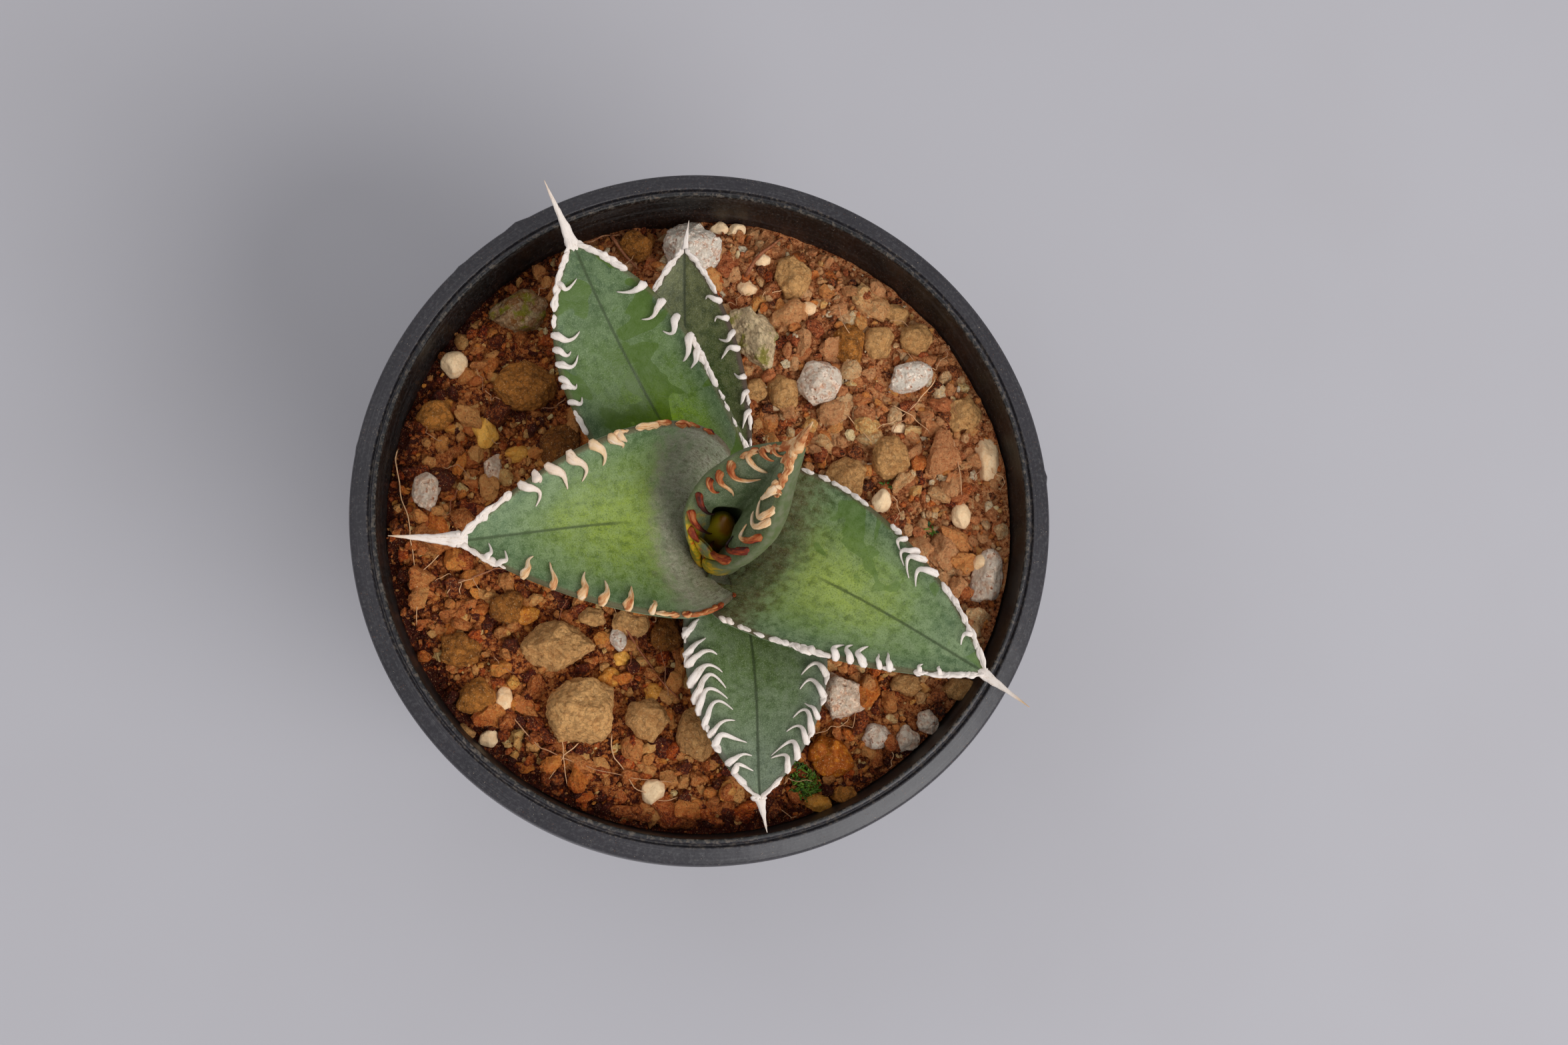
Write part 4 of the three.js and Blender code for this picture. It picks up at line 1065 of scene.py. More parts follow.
def potCutters(material):
    f = potFacts
    away, reach = f["drainCircle"], f["drainRadius"]
    drain, drainFaces = lathe(np.array([(0, -2), (reach, -2), (reach, 6), (0, 6)], float), 48)
    box = bmesh.new()
    bmesh.ops.create_cube(box, size=1)
    notch = np.array([v.co for v in box.verts]) * f["notch"] + (f["base"] - f["notchIn"], 0, 0)
    notchFaces = [np.array([[v.index for v in q.verts] for q in box.faces])]
    box.free()
    cutters = []
    for i in range(f["drains"]):
        angle = 2 * math.pi * (i + 0.5) / f["drains"]
        place = (away * math.cos(angle), away * math.sin(angle), 0)
        cutters.append(makePiece("cutter", drain + place, drainFaces, material))
        cutters.append(makePiece("cutter", notch @ turnTable(angle).T, notchFaces, material))
    for cutter in cutters:
        cutter.data.polygons.foreach_set("use_smooth", np.zeros(len(cutter.data.polygons), bool))
    return cutters


def potRecipe(wire, look):
    place = wire.place()
    x, y, z = place.parts()
    away = (x * x + y * y) ** 0.5
    broad = place.noise(0.12, 3)
    fine = place.noise(2.4, 4, 0.65)
    inner = (away - z * 0.1).rise(34.3, 34.1) * z.rise(58, 64)
    # scuffs and fine lines run round the rim, the pale lines on its top partly moulding lines and partly
    # painted highlight, and its raised ring is worn, its pale specks partly wear and partly painted highlight
    ringed = wire.vector(away * 9, x * 0.05, y * 0.05).noise(1, 3, 0.6)
    scuff = ringed.rise(0.62, 0.74) * fine.rise(0.42, 0.6)
    lines = wire.vector(away * 14, x * 0.04, y * 0.04).noise(1.4, 2, 0.5).rise(0.6, 0.68) * z.rise(75.5, 76.5)
    edges = away.rise(42.9, 42.6) * away.rise(41.4, 41.7) * z.rise(76, 77)
    wornAndHighlight = place.noise(1.6, 4, 0.7).rise(0.5, 0.62) * edges
    # pale dust and soil in specks, and soil on the inner wall; the brown band low on the inner wall is partly
    # soil smear and partly a painted reflection of the soil
    dust = place.noise(5.2, 2, 0.6).rise(0.68, 0.74) * place.noise(0.35, 2).rise(0.42, 0.6)
    soiled = place.noise(4.3, 3, 0.7).rise(0.64, 0.7) * place.noise(0.25, 2).rise(0.4, 0.6) * z.rise(74, 76)
    smear = (z + (fine - 0.5) * 5 - (x * 0.7 + y) * 0.03 + (broad - 0.5) * 6).rise(73, 70.5) * inner
    crust = place.noise(3.4, 3, 0.7).rise(0.6, 0.68) * (z + (broad - 0.5) * 6).rise(76.6, 72.5) * inner
    colour = layered(
        look["plastic"],
        (broad, look["faded"]),
        # painted shade: the inner wall is the same plastic as the outside, painted near black where shade
        # falls inside the pot
        (inner, look["innerWall"]),
        (ringed.rise(0.5, 0.72) * (z.rise(60, 72) * 0.03 + 0.04), look["scuff"]),
        (fine.rise(0.45, 0.75) * 0.1, look["scuff"]),
        # painted highlight: pale lines in the scuff colour on the rim's top, partly moulding lines
        (lines * fine.rise(0.45, 0.6) * 0.14, look["scuff"]),
        # pale specks on the raised ring, partly wear and partly painted highlight, with pale dust
        ((wornAndHighlight * 0.16).most(dust * 0.75), look["dust"]),
        (soiled * 0.6, look["crust"]),
        # partly soil smear, partly a painted reflection of the soil on the glossy inner wall
        (smear * 0.2, look["smear"]),
        (crust * 0.55, look["crust"]),
    )
    rough = 0.27 + fine * 0.18 + scuff * 0.08 + dust.most(crust).most(wornAndHighlight) * 0.35 + inner * 0.1
    skin = dust.most(crust).bump(0.6, 0.1, fine.bump(0.14, 0.08, broad.bump(0.3, 0.6)))
    return {"Base Color": colour, "Roughness": rough, "Normal": skin}


potLook = {
    "plastic": (34, 32, 36), "faded": (50, 47, 52), "innerWall": (12, 10, 10),
    "scuff": (150, 150, 150), "dust": (196, 178, 158), "smear": (56, 32, 20), "crust": (120, 76, 48),
}
potPaint = newMaterial("pot", potRecipe, potLook, Specular_IOR_Level=0.4)
pot = makePiece("potMoulding", *potMesh(), potPaint)
cutAway(pot, potCutters(potPaint))
dress(pot, "pot", "pot")
print("pot made")


# Soil: an uneven top inside straight sides, with crumbs all over it

soilFacts = {
    "sides": 320, "rings": 90, "mouth": 40.75, "floor": 3.1, "base": 30.4, "dip": 2, "dipWidth": 9,
    "pit": (-5, 39, 2.4, 22), "wallDrop": 1.5, "wallFrom": (37, 41), "bank": 0.7, "fibreLimit": 40.4,
}
# height and width in mm, and seed, of the lumps on its top
soilLumps = [(0.55, 7, 3), (0.45, 3.1, 8), (0.32, 1.3, 12), (0.2, 0.7, 19)]
stemFacts = {"x": 1.2, "y": -3.4, "radius": 4.1, "top": 76.2, "crumbsFree": 6.2, "fibresFree": 7, "roots": 5}


def soilHeight(x, y):
    f = soilFacts
    # a dip round the stem, and a small pit at the back wall
    away = np.hypot(x - stemFacts["x"], y - stemFacts["y"]) / f["dipWidth"]
    hollow = f["dip"] * np.exp(-away * away)
    px, py, deep, spread = f["pit"]
    hollow = hollow + deep * np.exp(-((x - px) ** 2 + (y - py) ** 2) / spread)
    # lower against the wall, most on the left and at the top
    away = np.hypot(x, y)
    side = 0.6 + 0.4 * np.clip((y - x) / np.maximum(away, 1) * 0.9, -1, 1)
    uneven = away + 1.2 * lumps(flat(x, y, 4), 40)
    hollow = hollow + f["wallDrop"] * side * smooth(uneven, *f["wallFrom"])
    # and banked up on the right
    hollow = hollow - f["bank"] * smooth(x, 15, 40) * smooth(away, 20, 38)
    height = sum(size * lumps(flat(x, y, scale), seed) for size, scale, seed in soilLumps)
    return soilLevel - 0.2 + height - hollow


def soilAt(x, y):
    return soilHeight(np.array([x]), np.array([y]))[0]


def soilMesh():
    f = soilFacts
    angle = 2 * np.pi * np.arange(f["sides"]) / f["sides"]
    spread = np.linspace(1, 0.006, f["rings"]) ** 0.8
    radius = (spread * f["mouth"])[:, None] * np.ones(f["sides"])
    x, y = radius * np.cos(angle), radius * np.sin(angle)
    z = soilHeight(x.ravel(), y.ravel()).reshape(x.shape)
    top = np.stack([x, y, z], -1)

    def ring(away, height):
        return np.stack([away * np.cos(angle), away * np.sin(angle), np.full_like(angle, height)], -1)

    base, low = f["base"], f["floor"]
    sides = [ring(base - 1.2, low), ring(base, low + 1.2), ring(39.2, 58), ring(f["mouth"], 69.5)]
    return tube(np.concatenate([np.stack(sides), top]))


def earth(wire, look, kind, warmth):
    # soil and its crumbs; kind runs from wet and dark to dry and pale. They are drier towards the back
    # right, and darkest by the left wall
    place = wire.place()
    x, y, _ = place.parts()
    grain = place.noise(2.5, 6, 0.74)
    grit = place.stir(2, 0.6).cells(2.2)
    patch = place.noise(0.2, 3)
    side = (x * 0.8 + y * 0.6 + (patch - 0.5) * 40).rise(-18, 38)
    wall = (x * x + y * y).rise(36.5**2, 40**2) * (1 - side)
    kind = kind + 0.07 - wall * 0.22 + (side - 0.5) * 0.13 + (grain - 0.5) * 1.05 + (patch - 0.5) * 0.2
    left = side.rise(0.75, 0.1)
    # painted highlights: small pale flecks standing in for glints on wet grains
    glintFlecks = place.noise(6.5, 2, 0.6).rise(0.62, 0.7)
    colour = layered(
        kind.ramp(look["stops"]),
        (warmth.rise(0.55, 1) * 0.7, look["amber"], "SOFT_LIGHT"),
        (warmth.rise(0.4, 0) * 0.5, look["rust"], "SOFT_LIGHT"),
        (left * 0.4, look["red"], "SCREEN"),
        (left * 0.36, look["warm"], "MULTIPLY"),
        (glintFlecks * 0.8, look["spark"]),
        (grit.rise(0.3, 0.04) * 0.6, look["pit"]),
    )
    rough = 0.46 + grain * 0.4 - side.rise(0.6, 0.1) * 0.16
    return {"Base Color": colour, "Roughness": rough, "Normal": grit.bump(0.7, 0.3, grain.bump(1, 0.6))}


earthLook = {
    "stops": [
        (0, (30, 11, 4)), (0.12, (84, 36, 14)), (0.26, (184, 100, 50)), (0.42, (219, 145, 92)),
        (0.62, (230, 168, 112)), (0.78, (236, 190, 138)), (0.9, (246, 214, 164)), (1, (252, 230, 196)),
    ],
    "spark": (250, 200, 140), "pit": (54, 22, 6), "amber": (220, 140, 20), "rust": (140, 56, 20),
    "red": (100, 20, 0), "warm": (255, 238, 90),
}


def soilRecipe(wire, look):
    place = wire.place()
    # the bed's kind is held low, so it is darker than the crumbs on it: partly darker soil, partly painted
    # shade in the gaps between the crumbs
    return earth(wire, look, place.noise(1.4, 4, 0.7).rise(0.3, 0.7) * 0.42, place.noise(0.6, 2))


def crumbRecipe(wire, look):
    return earth(wire, look, wire.value("crumbKind"), wire.value("crumbWarmth"))


soilPaint = newMaterial("soil", soilRecipe, earthLook, Specular_IOR_Level=0.22)
dress(makePiece("soilBed", *soilMesh(), soilPaint), "soil", "soil")

# Larger stones, each with a node: name, middle in x and y, width, length, turn, and 0 for dark to 1 for light
stoneRows = [
    ("clay_a", -18.8, -16.6, 9.6, 6.6, 10, 0.81), ("clay_b", -15.5, -25.1, 9.6, 9, 30, 1),
    ("clay_c", -7.4, -26.3, 5.8, 5.8, 0, 0.66), ("clay_d", -1.1, -27.9, 5.4, 7.6, 0, 0.63),
    ("clay_e", -9.4, -13.8, 5, 4.2, 0, 0.81), ("clay_f", 12.4, 32.4, 5, 6, 0, 0.81),
    ("clay_g", 23.8, 23.6, 4.3, 4.4, 0, 0.78), ("clay_h", 28.8, 24.2, 4.6, 4.3, 0, 0.69),
    ("clay_i", 25, 8, 5.2, 6, 0, 0.69), ("clay_j", 18.8, 5.3, 5.8, 6, 0, 0.66),
    ("clay_k", 35, 14, 4.8, 5.2, 0, 0.84), ("brown_a", -25.3, -11.6, 4.6, 4.4, 0, 0.46),
    ("brown_b", -31.1, -17, 5.4, 4.4, 0, 0.53), ("brown_c", -29.1, -22.9, 5.2, 4.8, 0, 0.64),
    ("brown_d", -34.6, 13.5, 5, 4, 0, 0.88), ("brown_e", -23, 17.4, 8.4, 6.8, 0, 0.62),
    ("pumice_a", -0.9, 36.2, 8, 7.9, 0, 1.15), ("pumice_b", 27.8, 18.9, 6.4, 4, 15, 1),
    ("pumice_c", 15.6, 18.1, 6.2, 6.2, 0, 0.6), ("pumice_d", 37.4, -7.7, 4.3, 7.6, -14, 0.5),
    ("pumice_e", -35.6, 3.3, 3.8, 5.4, 0, 0.4), ("pumice_f", 17.8, -23.4, 6.2, 6.6, 0, 0.3),
    ("pumice_g", 22.4, -28.6, 4.2, 3.4, 0, 0.6), ("cream_a", 38, 7.9, 3.4, 6, 0, 0.7),
    ("cream_b", 34.2, 0.4, 2.6, 3.6, 0, 0.8), ("cream_c", -32.1, 20.4, 3.6, 3.5, 30, 0.8),
    ("mossy_a", 7.3, 24.2, 6.2, 9.4, 25, 0.95), ("mossy_b", -23.8, 27.2, 8, 5.6, 20, 0.25),
    ("orange_a", -28.1, 11.2, 3.6, 4.4, 0, 1), ("orange_b", 16.2, -31.2, 6, 5.6, 0, 0),
]
# Smaller ones without a node: the kind, and the same facts
looseRows = [
    ("brown", -4.7, -15.1, 4.5, 5.1, 0, 0.32), ("brown", -8.6, 36.8, 4.8, 4.6, 20, 0.6),
    ("brown", 19.8, 23.4, 4.5, 6, 0, 0.67), ("clay", 26.1, 27.6, 4.2, 3, 0, 0.75),
    ("clay", 10.8, 17, 4.2, 4.8, 0, 0.69), ("clay", 7.2, 17.3, 3.6, 3.3, 0, 0.75),
    ("cream", 23.6, 2.4, 2.7, 3.3, 0, 1), ("cream", 36.5, -6.2, 2.4, 2.4, 0, 0.7),
    ("orange", -24.1, 8.5, 3.3, 2.4, 0, 0.7), ("pumice", -27, 6.8, 2.7, 3.9, 0, 0.3),
    ("pumice", 26.2, -28.9, 3.6, 3.6, 0, 0.5), ("pumice", 29, -26.8, 3, 3.3, 0, 0.6),
    ("orange", 14.5, -37.1, 3.6, 2.7, 0, 0.5), ("cream", -6.7, -35.4, 3, 3.3, 0, 0.9),
    ("cream", -27.6, -28.2, 2.5, 2.4, 0, 0.8), ("cream", -25.7, -23.3, 2.4, 3.3, 0, 0.6),
    ("pumice", -11, -15.8, 2.4, 3.6, 15, 1), ("brown", -18.5, 9.6, 5.4, 6, 0, 0.25),
    ("clay", 26.4, -22, 4.5, 3, 0, 0.63), ("clay", 33.1, -22.6, 4.8, 3, 0, 0.63),
    ("brown", 17.8, -35.9, 3.6, 2.4, 0, 0.81), ("cream", 2.8, 39.6, 2.7, 2.1, 0, 0.9),
    ("cream", 5.2, 39.4, 2.3, 1.7, 0, 0.9), ("cream", 6.5, 31.3, 3, 2.1, 0, 0.7),
    ("clay", -30.6, -27.4, 3, 2.4, 0, 0.57), ("cream", 8.4, 34.9, 2.2, 1.9, 0, 0.8),
    ("cream", 14.2, 28.2, 2.6, 2, 0, 0.6), ("cream", 26.2, 12.2, 2, 1.6, 0, 1),
    ("cream", 32.2, 11, 2, 1.8, 0, 0.8), ("cream", 10.2, 15.4, 1.9, 1.7, 0, 0.9),
    ("orange", -22.6, -12.6, 3.2, 2.6, 10, 0.3), ("orange", -12.2, -20.6, 3, 2.6, 0, 0.4),
    ("orange", -6.6, -22.6, 2.6, 2.4, 0, 0.5), ("clay", -14.4, -12.9, 3.6, 2.6, 0, 0.75),
    ("orange", -10.6, -18.2, 2.4, 2, 0, 0.9),
]


def stoneRecipe(wire, look):
    place, tint = wire.place(), wire.value("stoneTint")
    broad = place.noise(0.55, 3)
    grain = place.noise(2.4, 5, 0.75)
    stirred = place.stir(1.3, 1.1)
    packed = stirred.cells(look["grainScale"])
    each = stirred.cells(look["grainScale"], out="Color")
    pits = place.stir(2, 0.8).cells(look["pitScale"])
    mixed = broad * 0.5 - 0.25 + tint + (grain - 0.5) * 1.1 + (each - 0.5) * look["grainTint"]
    seam = (packed + (grain - 0.5) * 0.5).rise(0.46, 0.72)
    hollow = pits.rise(look["pitSize"], look["pitSize"] * 0.35) * grain.rise(0.4, 0.6)
    stain = place.noise(look["stainScale"], 4, 0.6).rise(0.5, 0.62)
    flecks = place.noise(5.5, 2, 0.6).rise(0.62, 0.7)
    dark = place.noise(4.2, 3, 0.7).rise(0.42, 0.32)
    colour = layered(
        look["dark"],
        (mixed.rise(-0.1, 1.1), look["light"]),
        (seam * look["seamShare"], look["pit"]),
        (hollow * look["pitShare"], look["pit"]),
        (stain * look["stainShare"], look["stain"]),
        (flecks * 0.6, look["fleck"]),
        (dark * look["darkShare"], look["pit"]),
    )
    skin = (1 - packed).bump(look["grainDepth"] * 0.6, 0.25, grain.bump(look["grainDepth"], 0.55))
    skin = (1 - hollow).bump(look["pitDepth"], 0.4, skin)
    return {"Base Color": colour, "Roughness": look["rough"] + grain * 0.24, "Normal": skin}


def stoneLook(**changes):
    return {
        "dark": (150, 88, 34), "light": (244, 186, 118), "fleck": (250, 214, 164), "darkShare": 0.5,
        "pit": (84, 46, 16), "pitScale": 2.4, "pitSize": 0.28, "pitShare": 0.6, "pitDepth": 0.5,
        "stain": (176, 100, 34), "stainShare": 0.3, "stainScale": 1.1,
        "grainDepth": 1, "grainScale": 1.5, "grainTint": 0.35, "seamShare": 0.35, "rough": 0.62,
        **changes,
    }


# for each kind the record's slot, how it is cut, and its look
stoneKinds = {
    "clay": ("tan_clay", {"flats": 11, "depth": 0.68, "rough": 0.065, "grains": 0.2}, stoneLook()),
    "brown": ("brown_clay", {"flats": 12, "depth": 0.7, "rough": 0.07, "grains": 0.2}, stoneLook(
        dark=(108, 56, 14), light=(224, 144, 62), pit=(50, 26, 8), stain=(124, 80, 24),
        seamShare=0.45)),
    "pumice": ("pumice", {"flats": 10, "depth": 0.66, "rough": 0.06, "grains": 0.14}, stoneLook(
        dark=(240, 206, 174), light=(255, 241, 222), fleck=(255, 246, 232), darkShare=0.15,
        pit=(156, 88, 48), pitScale=1.15, pitSize=0.46, pitShare=1, pitDepth=0.9, stain=(206, 138, 96),
        stainShare=0.5, stainScale=1.4, grainTint=0.4, seamShare=0.05)),
    "cream": ("cream_clay", {"flats": 9, "depth": 0.66, "rough": 0.045, "grains": 0.04}, stoneLook(
        dark=(234, 172, 110), light=(255, 224, 180), darkShare=0.2, pit=(160, 104, 56), pitShare=0.3,
        stain=(214, 140, 60), stainShare=0.1, grainDepth=0.4, seamShare=0.1, rough=0.46)),
    "mossy": ("mossy_stone", {"flats": 10, "depth": 0.66, "rough": 0.09, "grains": 0.2}, stoneLook(
        dark=(142, 84, 30), light=(246, 218, 172), darkShare=0.3, pit=(64, 36, 12),
        stain=(140, 136, 14), stainShare=0.8, stainScale=0.42, grainTint=0.5)),
    "orange": ("orange_bead", {"flats": 10, "depth": 0.62, "rough": 0.1, "grains": 0.12}, stoneLook(
        dark=(164, 80, 12), light=(250, 186, 84), pit=(110, 52, 12), pitShare=0.3,
        stain=(232, 146, 36), stainShare=0.4, grainDepth=0.5, seamShare=0.15, rough=0.34)),
}


class Ground:
    # what lies where, so that crumbs keep out of the stones
    def __init__(self):
        self.rows = []

    def take(self, x, y, width, length, turn):
        self.rows.append((x, y, width / 2, length / 2, radians(turn)))

    def clear(self, x, y, room):
        free = np.hypot(x - stemFacts["x"], y - stemFacts["y"]) > stemFacts["crumbsFree"]
        for sx, sy, wide, long, turn in self.rows:
            across = ((x - sx) * math.cos(turn) + (y - sy) * math.sin(turn)) / (wide + room)
            up = (-(x - sx) * math.sin(turn) + (y - sy) * math.cos(turn)) / (long + room)
            free &= across**2 + up**2 > 1
        return free


# how tall a stone is, as a share of its mean width, and how far its middle lies over the soil, as a share
# of its height
stoneStance = {"named": (0.8, 0.12), "loose": (0.75, 0.16)}


def laid(points, width, length, height, turn, place):
    # a rock of the size given, turned and put in its place
    return (points * (width / 2, length / 2, height / 2)) @ turnTable(radians(turn)).T + place


ground = Ground()
stoneHeaps = {kind: Heap() for kind in stoneKinds}
stoneNodes = {kind: [] for kind in stoneKinds}
for index, (name, x, y, width, length, turn, tint) in enumerate(stoneRows + looseRows):
    kind = name.split("_")[0]
    mean, named = (width + length) / 2, index < len(stoneRows)
    tall, clear = stoneStance["named" if named else "loose"]
    height = mean * tall
    place = (x, y, (soilLevel if named else soilAt(x, y)) + height * clear)
    if named:
        stoneNodes[kind].append("stone_" + name)
    cuts = 4 if kind == "cream" or mean < 4.6 else 6 if mean > 7.2 else 5
    dice = np.random.default_rng(seeds["stones"] + index)
    points, faces = rock(cuts, dice, fine=mean * 0.3 + 0.6, size=mean / 2, **stoneKinds[kind][1])
    stoneHeaps[kind].add(laid(points, width, length, height, turn, place), [faces], stoneTint=tint)
    ground.take(x, y, width, length, turn)
for kind, heap in stoneHeaps.items():
    slot, _, look = stoneKinds[kind]
    paint = newMaterial("stone" + kind.title(), stoneRecipe, look, Specular_IOR_Level=0.2)
    dress(heap.piece("stones" + kind.title(), paint), slot, *stoneNodes[kind])
print("soil and stones made")

# Crumbs: how many, least and largest size in mm, kind from dark to pale, and its spread
crumbSorts = {
    "crumbsRed": [(2200, 0.9, 2.7, 0.36, 0.19)],
    "crumbsMixed": [
        (380, 1.8, 5.2, 0.42, 0.14), (420, 0.9, 2.6, 0.1, 0.06), (520, 0.9, 2.6, 0.6, 0.12),
        (130, 0.8, 1.8, 0.9, 0.06),
    ],
    "grit": [(5600, 0.35, 0.95, 0.36, 0.14), (600, 0.3, 0.7, 0.8, 0.12)],
}
# red lumps near the front rim and elsewhere: x, y, width, length, turn
lumpRows = [
    (-8.8, -38, 9, 1.9, -12), (-3.8, -38.7, 5.4, 3, -6), (-16.2, -31.6, 5.2, 2.4, -24),
    (-9.2, -29.8, 3.2, 3.6, 0), (4.6, -34, 4.2, 2.4, 10), (17.6, 14.3, 5, 3.4, 30), (33, 4.2, 3, 3.6, 0),
    (31.6, -4.6, 4.4, 5.2, 20),
]


def crumbHeap(sorts, dice):
    heap = Heap()
    for count, least, largest, kind, spread in sorts:
        size = least + (largest - least) * dice.random(count) ** 2.2
        away = (soilFacts["mouth"] - size * 0.55) * np.sqrt(dice.random(count))
        way = dice.uniform(0, 2 * np.pi, count)
        x, y = away * np.cos(way), away * np.sin(way)
        free = ground.clear(x, y, size * 0.12 - 0.3)
        x, y, size = x[free], y[free], size[free]
        z = soilHeight(x, y) + size * dice.uniform(-0.05, 0.3, len(x))
        z = z + 0.35 * (size < 0.9) * dice.random(len(x))
        tints = np.clip(kind + spread * dice.normal(size=len(x)), 0.02, 1)
        for i in range(len(x)):
            cuts = 3 if size[i] > 2.6 else 2 if size[i] > 0.95 else 1
            points, faces = rock(cuts, dice, 7, 0.42, 0.16, 2.4)
            stretch = size[i] / 2 * dice.uniform((0.8, 0.65, 0.5), (1.45, 1.05, 0.9))
            turn = turnTable(dice.uniform(0, 6.3), dice.normal() * 0.5, dice.normal() * 0.5)
            points = (points * stretch) @ turn.T + (x[i], y[i], z[i])
            heap.add(points, [faces], crumbKind=tints[i], crumbWarmth=dice.random())
    return heap


def addLumps(heap, dice):
    for x, y, width, length, turn in lumpRows:
        points, faces = rock(4, dice, 8, 0.7, 0.1, 3)
        height = min(width, length) * 0.85
        place = (x, y, soilAt(x, y) + height * 0.22)
        heap.add(laid(points, width, length, height, turn, place), [faces], crumbKind=0.42, crumbWarmth=0.3)


crumbPaint = newMaterial("crumbs", crumbRecipe, earthLook, Specular_IOR_Level=0.28)
for number, (name, sorts) in enumerate(crumbSorts.items()):
    dice = np.random.default_rng(seeds["crumbs"] + number)
    heap = crumbHeap(sorts, dice)
    if name == "crumbsMixed":
        addLumps(heap, dice)
    dress(heap.piece(name, crumbPaint, smoothFaces=False), "soil")
print("crumbs made")


# Fine dry roots on the soil: the points that some follow, then many short ones by chance

rootRows = [
    # radius, 0 for brown to 1 for pale, and points
    (0.1, 0.8, [
        (-40, 9.6), (-39.3, 5.9), (-38.4, 2.2), (-37.5, -1.4), (-37.2, -5), (-36.6, -9.8), (-36.5, -14),
    ]),
    (0.19, 0.05, [(-11.6, -12.6), (-10.1, -14.5), (-8.3, -17.2), (-6.3, -20.2), (-3.3, -23.8)]),
    (0.08, 0.9, [(-18.4, -27.2), (-18.2, -30.8), (-20.3, -33.7)]),
    (0.09, 0.4, [(-25.4, -24.4), (-21.1, -29.6), (-18.2, -30.8), (-14.1, -32.6), (-9, -33.6), (-4, -34)]),
    (0.08, 0.9, [(-16.4, -29), (-18.2, -30.8), (-17.6, -34.3)]),
    (0.09, 0.7, [(-12, -27.5), (-11.5, -31), (-9, -34.5), (-6.5, -36.5), (-3.5, -36)]),
    (0.08, 0.8, [(25.2, 15.2), (28, 13.6), (30.4, 11.1)]),
    (0.08, 0.7, [(19.2, 13.6), (21.1, 11.7), (23, 9.5)]),
    (0.08, 0.8, [(31, 19), (28.5, 15), (25, 12.4), (22.6, 11.8)]),
    (0.1, 0.5, [(33, 11), (34.2, 5), (34.6, 0.5)]),
    (0.09, 0.9, [(-35.1, -3.5), (-33.9, -5), (-36, -7.4)]),
    (0.3, 0.1, [(5.8, 32.8), (8.4, 35.9), (11.2, 38.6)]),
    (0.12, 0.3, [(-15.1, 37.4), (-13, 38.2), (-10.4, 38.6)]),
    (0.28, 0.15, [(-11.8, 38.2), (-10.6, 36.4), (-8.3, 33.5)]),
    (0.14, 0.2, [(-31.8, -8.4), (-29.5, -7.5), (-26.5, -6.5), (-23, -6.8)]),
]
# How many short roots there are. In mm, how far a root sways to the side, how high it lies over the soil
# before and after its path is smoothed, and how far it arches up and dips in at its ends.
fibreFacts = {"short": 70, "sway": 0.35, "over": 0.75, "lift": 0.25, "arch": 0.7, "dip": 0.8}


def fibrePiece():
    f = fibreFacts
    dice = np.random.default_rng(seeds["roots"])
    heap = Heap()
    paths = [(np.array(points, float), radius, shade) for radius, shade, points in rootRows]
    for _ in range(f["short"]):
        away, way = 39 * math.sqrt(dice.random()), dice.uniform(0, 6.3)
        heading, bend = dice.uniform(0, 6.3), dice.normal() * 0.35
        turns = heading + bend * np.arange(5) + dice.normal(size=5) * 0.3
        walk = np.cumsum(np.column_stack([np.cos(turns), np.sin(turns)]) * dice.uniform(0.7, 1.6), axis=0)
        walk = walk + (away * math.cos(way), away * math.sin(way))
        paths.append((walk, dice.uniform(0.05, 0.09), dice.random()))
    for path, radius, shade in paths:
        spots = np.linspace(0, len(path) - 1, 5 * len(path))
        x, y = (np.interp(spots, np.arange(len(path)), path[:, i]) for i in (0, 1))
        start = dice.uniform(0, 50)
        x = x + f["sway"] * lumps(strip(spots * 1.4 + start))
        y = y + f["sway"] * lumps(strip(spots * 1.4 + start + 30))
        limit = np.maximum(np.hypot(x, y) / soilFacts["fibreLimit"], 1)
        x, y = x / limit, y / limit
        if (np.hypot(x - stemFacts["x"], y - stemFacts["y"]) < stemFacts["fibresFree"]).any():
            continue
        low = soilHeight(x, y) + f["over"]
        z = np.convolve(np.pad(low, 3, mode="edge"), np.ones(7) / 7, "valid") + f["lift"]
        z = z + f["arch"] * np.abs(lumps(strip(spots * 0.8 + start), 5))
        z[[0, -1]] -= f["dip"]
        size = radius * (1 - 0.5 * np.linspace(0, 1, len(x)))
        rings, _ = sweep(np.column_stack([x, y, z]), (0.1, 0, 1), size, size, sides=6)
        heap.add(*tube(rings), rootTone=shade)
    return heap


def fibreRecipe(wire):
    grain = wire.place().noise(3, 3)
    shade = (wire.value("rootTone") * 0.6 + grain * 0.5).rise(0.2, 0.8)
    colour = shade.mix(tone(134, 66, 30), tone(222, 176, 130))
    return {"Base Color": colour, "Roughness": 0.6 + grain * 0.2, "Normal": grain.bump(0.4, 0.05)}


dress(fibrePiece().piece("roots", newMaterial("fibre", fibreRecipe)), "soil")


# Moss, in two small tufts and a few strands elsewhere: x, y, spread and how many
mossRows = [(12.9, -34.4, 1.8, 170), (11.6, -32.4, 0.9, 30), (24.5, 4.6, 0.6, 10), (30, -1.5, 0.7, 12)]


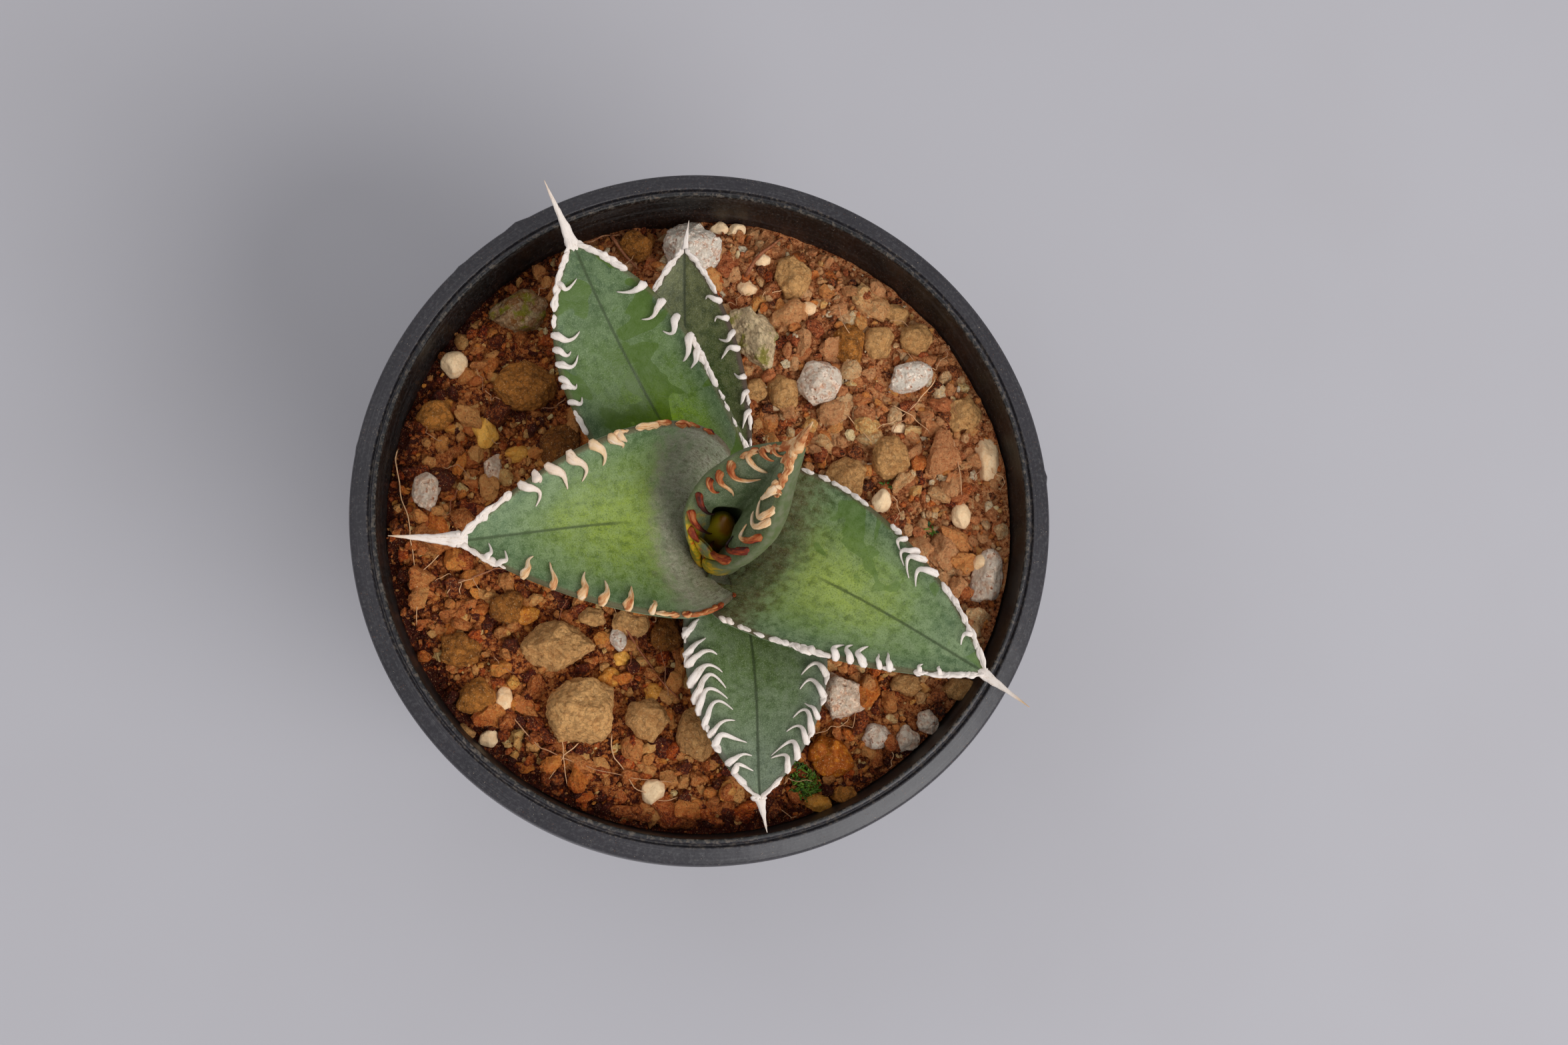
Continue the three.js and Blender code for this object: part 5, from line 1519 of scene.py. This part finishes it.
def mossPiece():
    dice = np.random.default_rng(seeds["moss"])
    heap = Heap()
    for x, y, spread, count in mossRows:
        for _ in range(count):
            away, way = spread * math.sqrt(dice.random()), dice.uniform(0, 6.3)
            mx, my = x + away * math.cos(way), y + away * math.sin(way) * 1.2
            foot = np.array([mx, my, soilAt(mx, my) + 0.2 + 0.9 * (1 - away / spread)])
            lean = dice.normal(size=2) * 0.45
            s = np.linspace(0, 1, 5)[:, None]
            path = foot + s * np.array([*lean, dice.uniform(0.5, 1)]) + s * s * (0, 0, -0.2)
            size = dice.uniform(0.12, 0.2) * np.sin(np.pi * np.clip(s[:, 0] * 0.85 + 0.12, 0, 1))
            rings, _ = sweep(path, (0.3, 0.2, 1), size, size * 0.5, sides=8)
            heap.add(*tube(rings), mossTone=np.clip(dice.normal() * 0.25 + 0.5, 0, 1))
    return heap


def mossRecipe(wire):
    colour = wire.value("mossTone").mix(tone(24, 62, 8), tone(104, 140, 30))
    return {"Base Color": colour, "Roughness": 0.5 + wire.place().noise(3) * 0.2}


dress(mossPiece().piece("moss", newMaterial("moss", mossRecipe)), "soil")


# Stem, with its roots in the soil, and the closed bud

def stemMesh():
    f = stemFacts
    r, top = f["radius"], f["top"]
    heap = Heap()
    profile = [(0, 58), (r * 0.4, 58), (r * 0.75, 64), (r, 69), (r, 75), (r - 1.1, top), (0, top)]

    def swell(radius, height, angle):
        bark = np.abs(lumps(circled(angle, height / 0.9, 1.5), 6)).reshape(radius.shape)
        return radius * (1 - 0.08 * bark), height

    heap.add(*lathe(softened(profile, 0.5), 64, (f["x"], f["y"]), swell))
    s = np.linspace(0, 1, 24)
    for i in range(f["roots"]):
        angle = 2 * math.pi * (i + 0.15) / f["roots"]
        away, height = 0.8 + 16 * s**0.9, 65 - 4 * s - 21 * s**1.6
        way = angle + 0.12 * np.sin(7 * s + i)
        path = np.column_stack([f["x"] + away * np.cos(way), f["y"] + away * np.sin(way), height])
        size = 1.45 - 0.9 * s
        rings, _ = sweep(path, (0.1, 0.2, 1), size, size)
        heap.add(*tube(rings))
    return heap


def stemRecipe(wire):
    grain = wire.place((1, 1, 3)).noise(0.8, 4, 0.6)
    colour = grain.mix(tone(92, 74, 40), tone(160, 142, 96))
    return {"Base Color": colour, "Roughness": 0.6 + grain * 0.2, "Normal": grain.bump(0.5, 0.3)}


dress(stemMesh().piece("stemAndRoots", newMaterial("stem", stemRecipe)), "stem", "stem")

budFacts = {"x": 0.7, "y": -4.3, "lean": (1.1, 2), "foot": 76.6, "middle": 81.5, "tip": 86.6, "radius": 2.15}


def budMesh():
    f = budFacts
    low, middle, tip, r = f["foot"], f["middle"], f["tip"], f["radius"]
    profile = softened([
        (0, low), (r * 0.7, low), (r * 0.95, low + 2.5), (r, middle), (r * 0.93, middle + 2),
        (r * 0.66, tip - 1.5), (0.4, tip - 0.15), (0, tip),
    ], 1)

    def swell(radius, height, angle):
        # the wrapped edge of the closed leaf runs up one side
        seam = np.exp(-((((np.degrees(angle) - 60 - height * 6) + 180) % 360 - 180) / 16) ** 2)
        return radius * (1 + 0.07 * seam), height

    points, faces = lathe(profile, 72, (f["x"], f["y"]), swell)
    climb = ((points[:, 2:] - low) / (tip - low)) ** 1.3
    points[:, :2] += climb * f["lean"]
    return points, faces


def budRecipe(wire):
    place = wire.place()
    high = place.parts()[2]
    mottle = place.noise(0.9, 3, 0.6)
    marks = place.noise(0.3, 2, 0.5).rise(0.54, 0.68)
    # lighter towards the top: a painted highlight on the bud's top, and painted shade on its lower sides
    colour = (high + mottle * 3).rise(80, 89).mix(tone(58, 58, 4), tone(152, 134, 12))
    colour = (marks * 0.7).mix(colour, tone(118, 44, 8))
    return {"Base Color": colour, "Roughness": 0.3 + mottle * 0.2, "Normal": mottle.bump(0.4, 0.2)}


dress(makePiece("bud", *budMesh(), newMaterial("bud", budRecipe)), "bud", "leaf_bud")
print("stem and bud made")
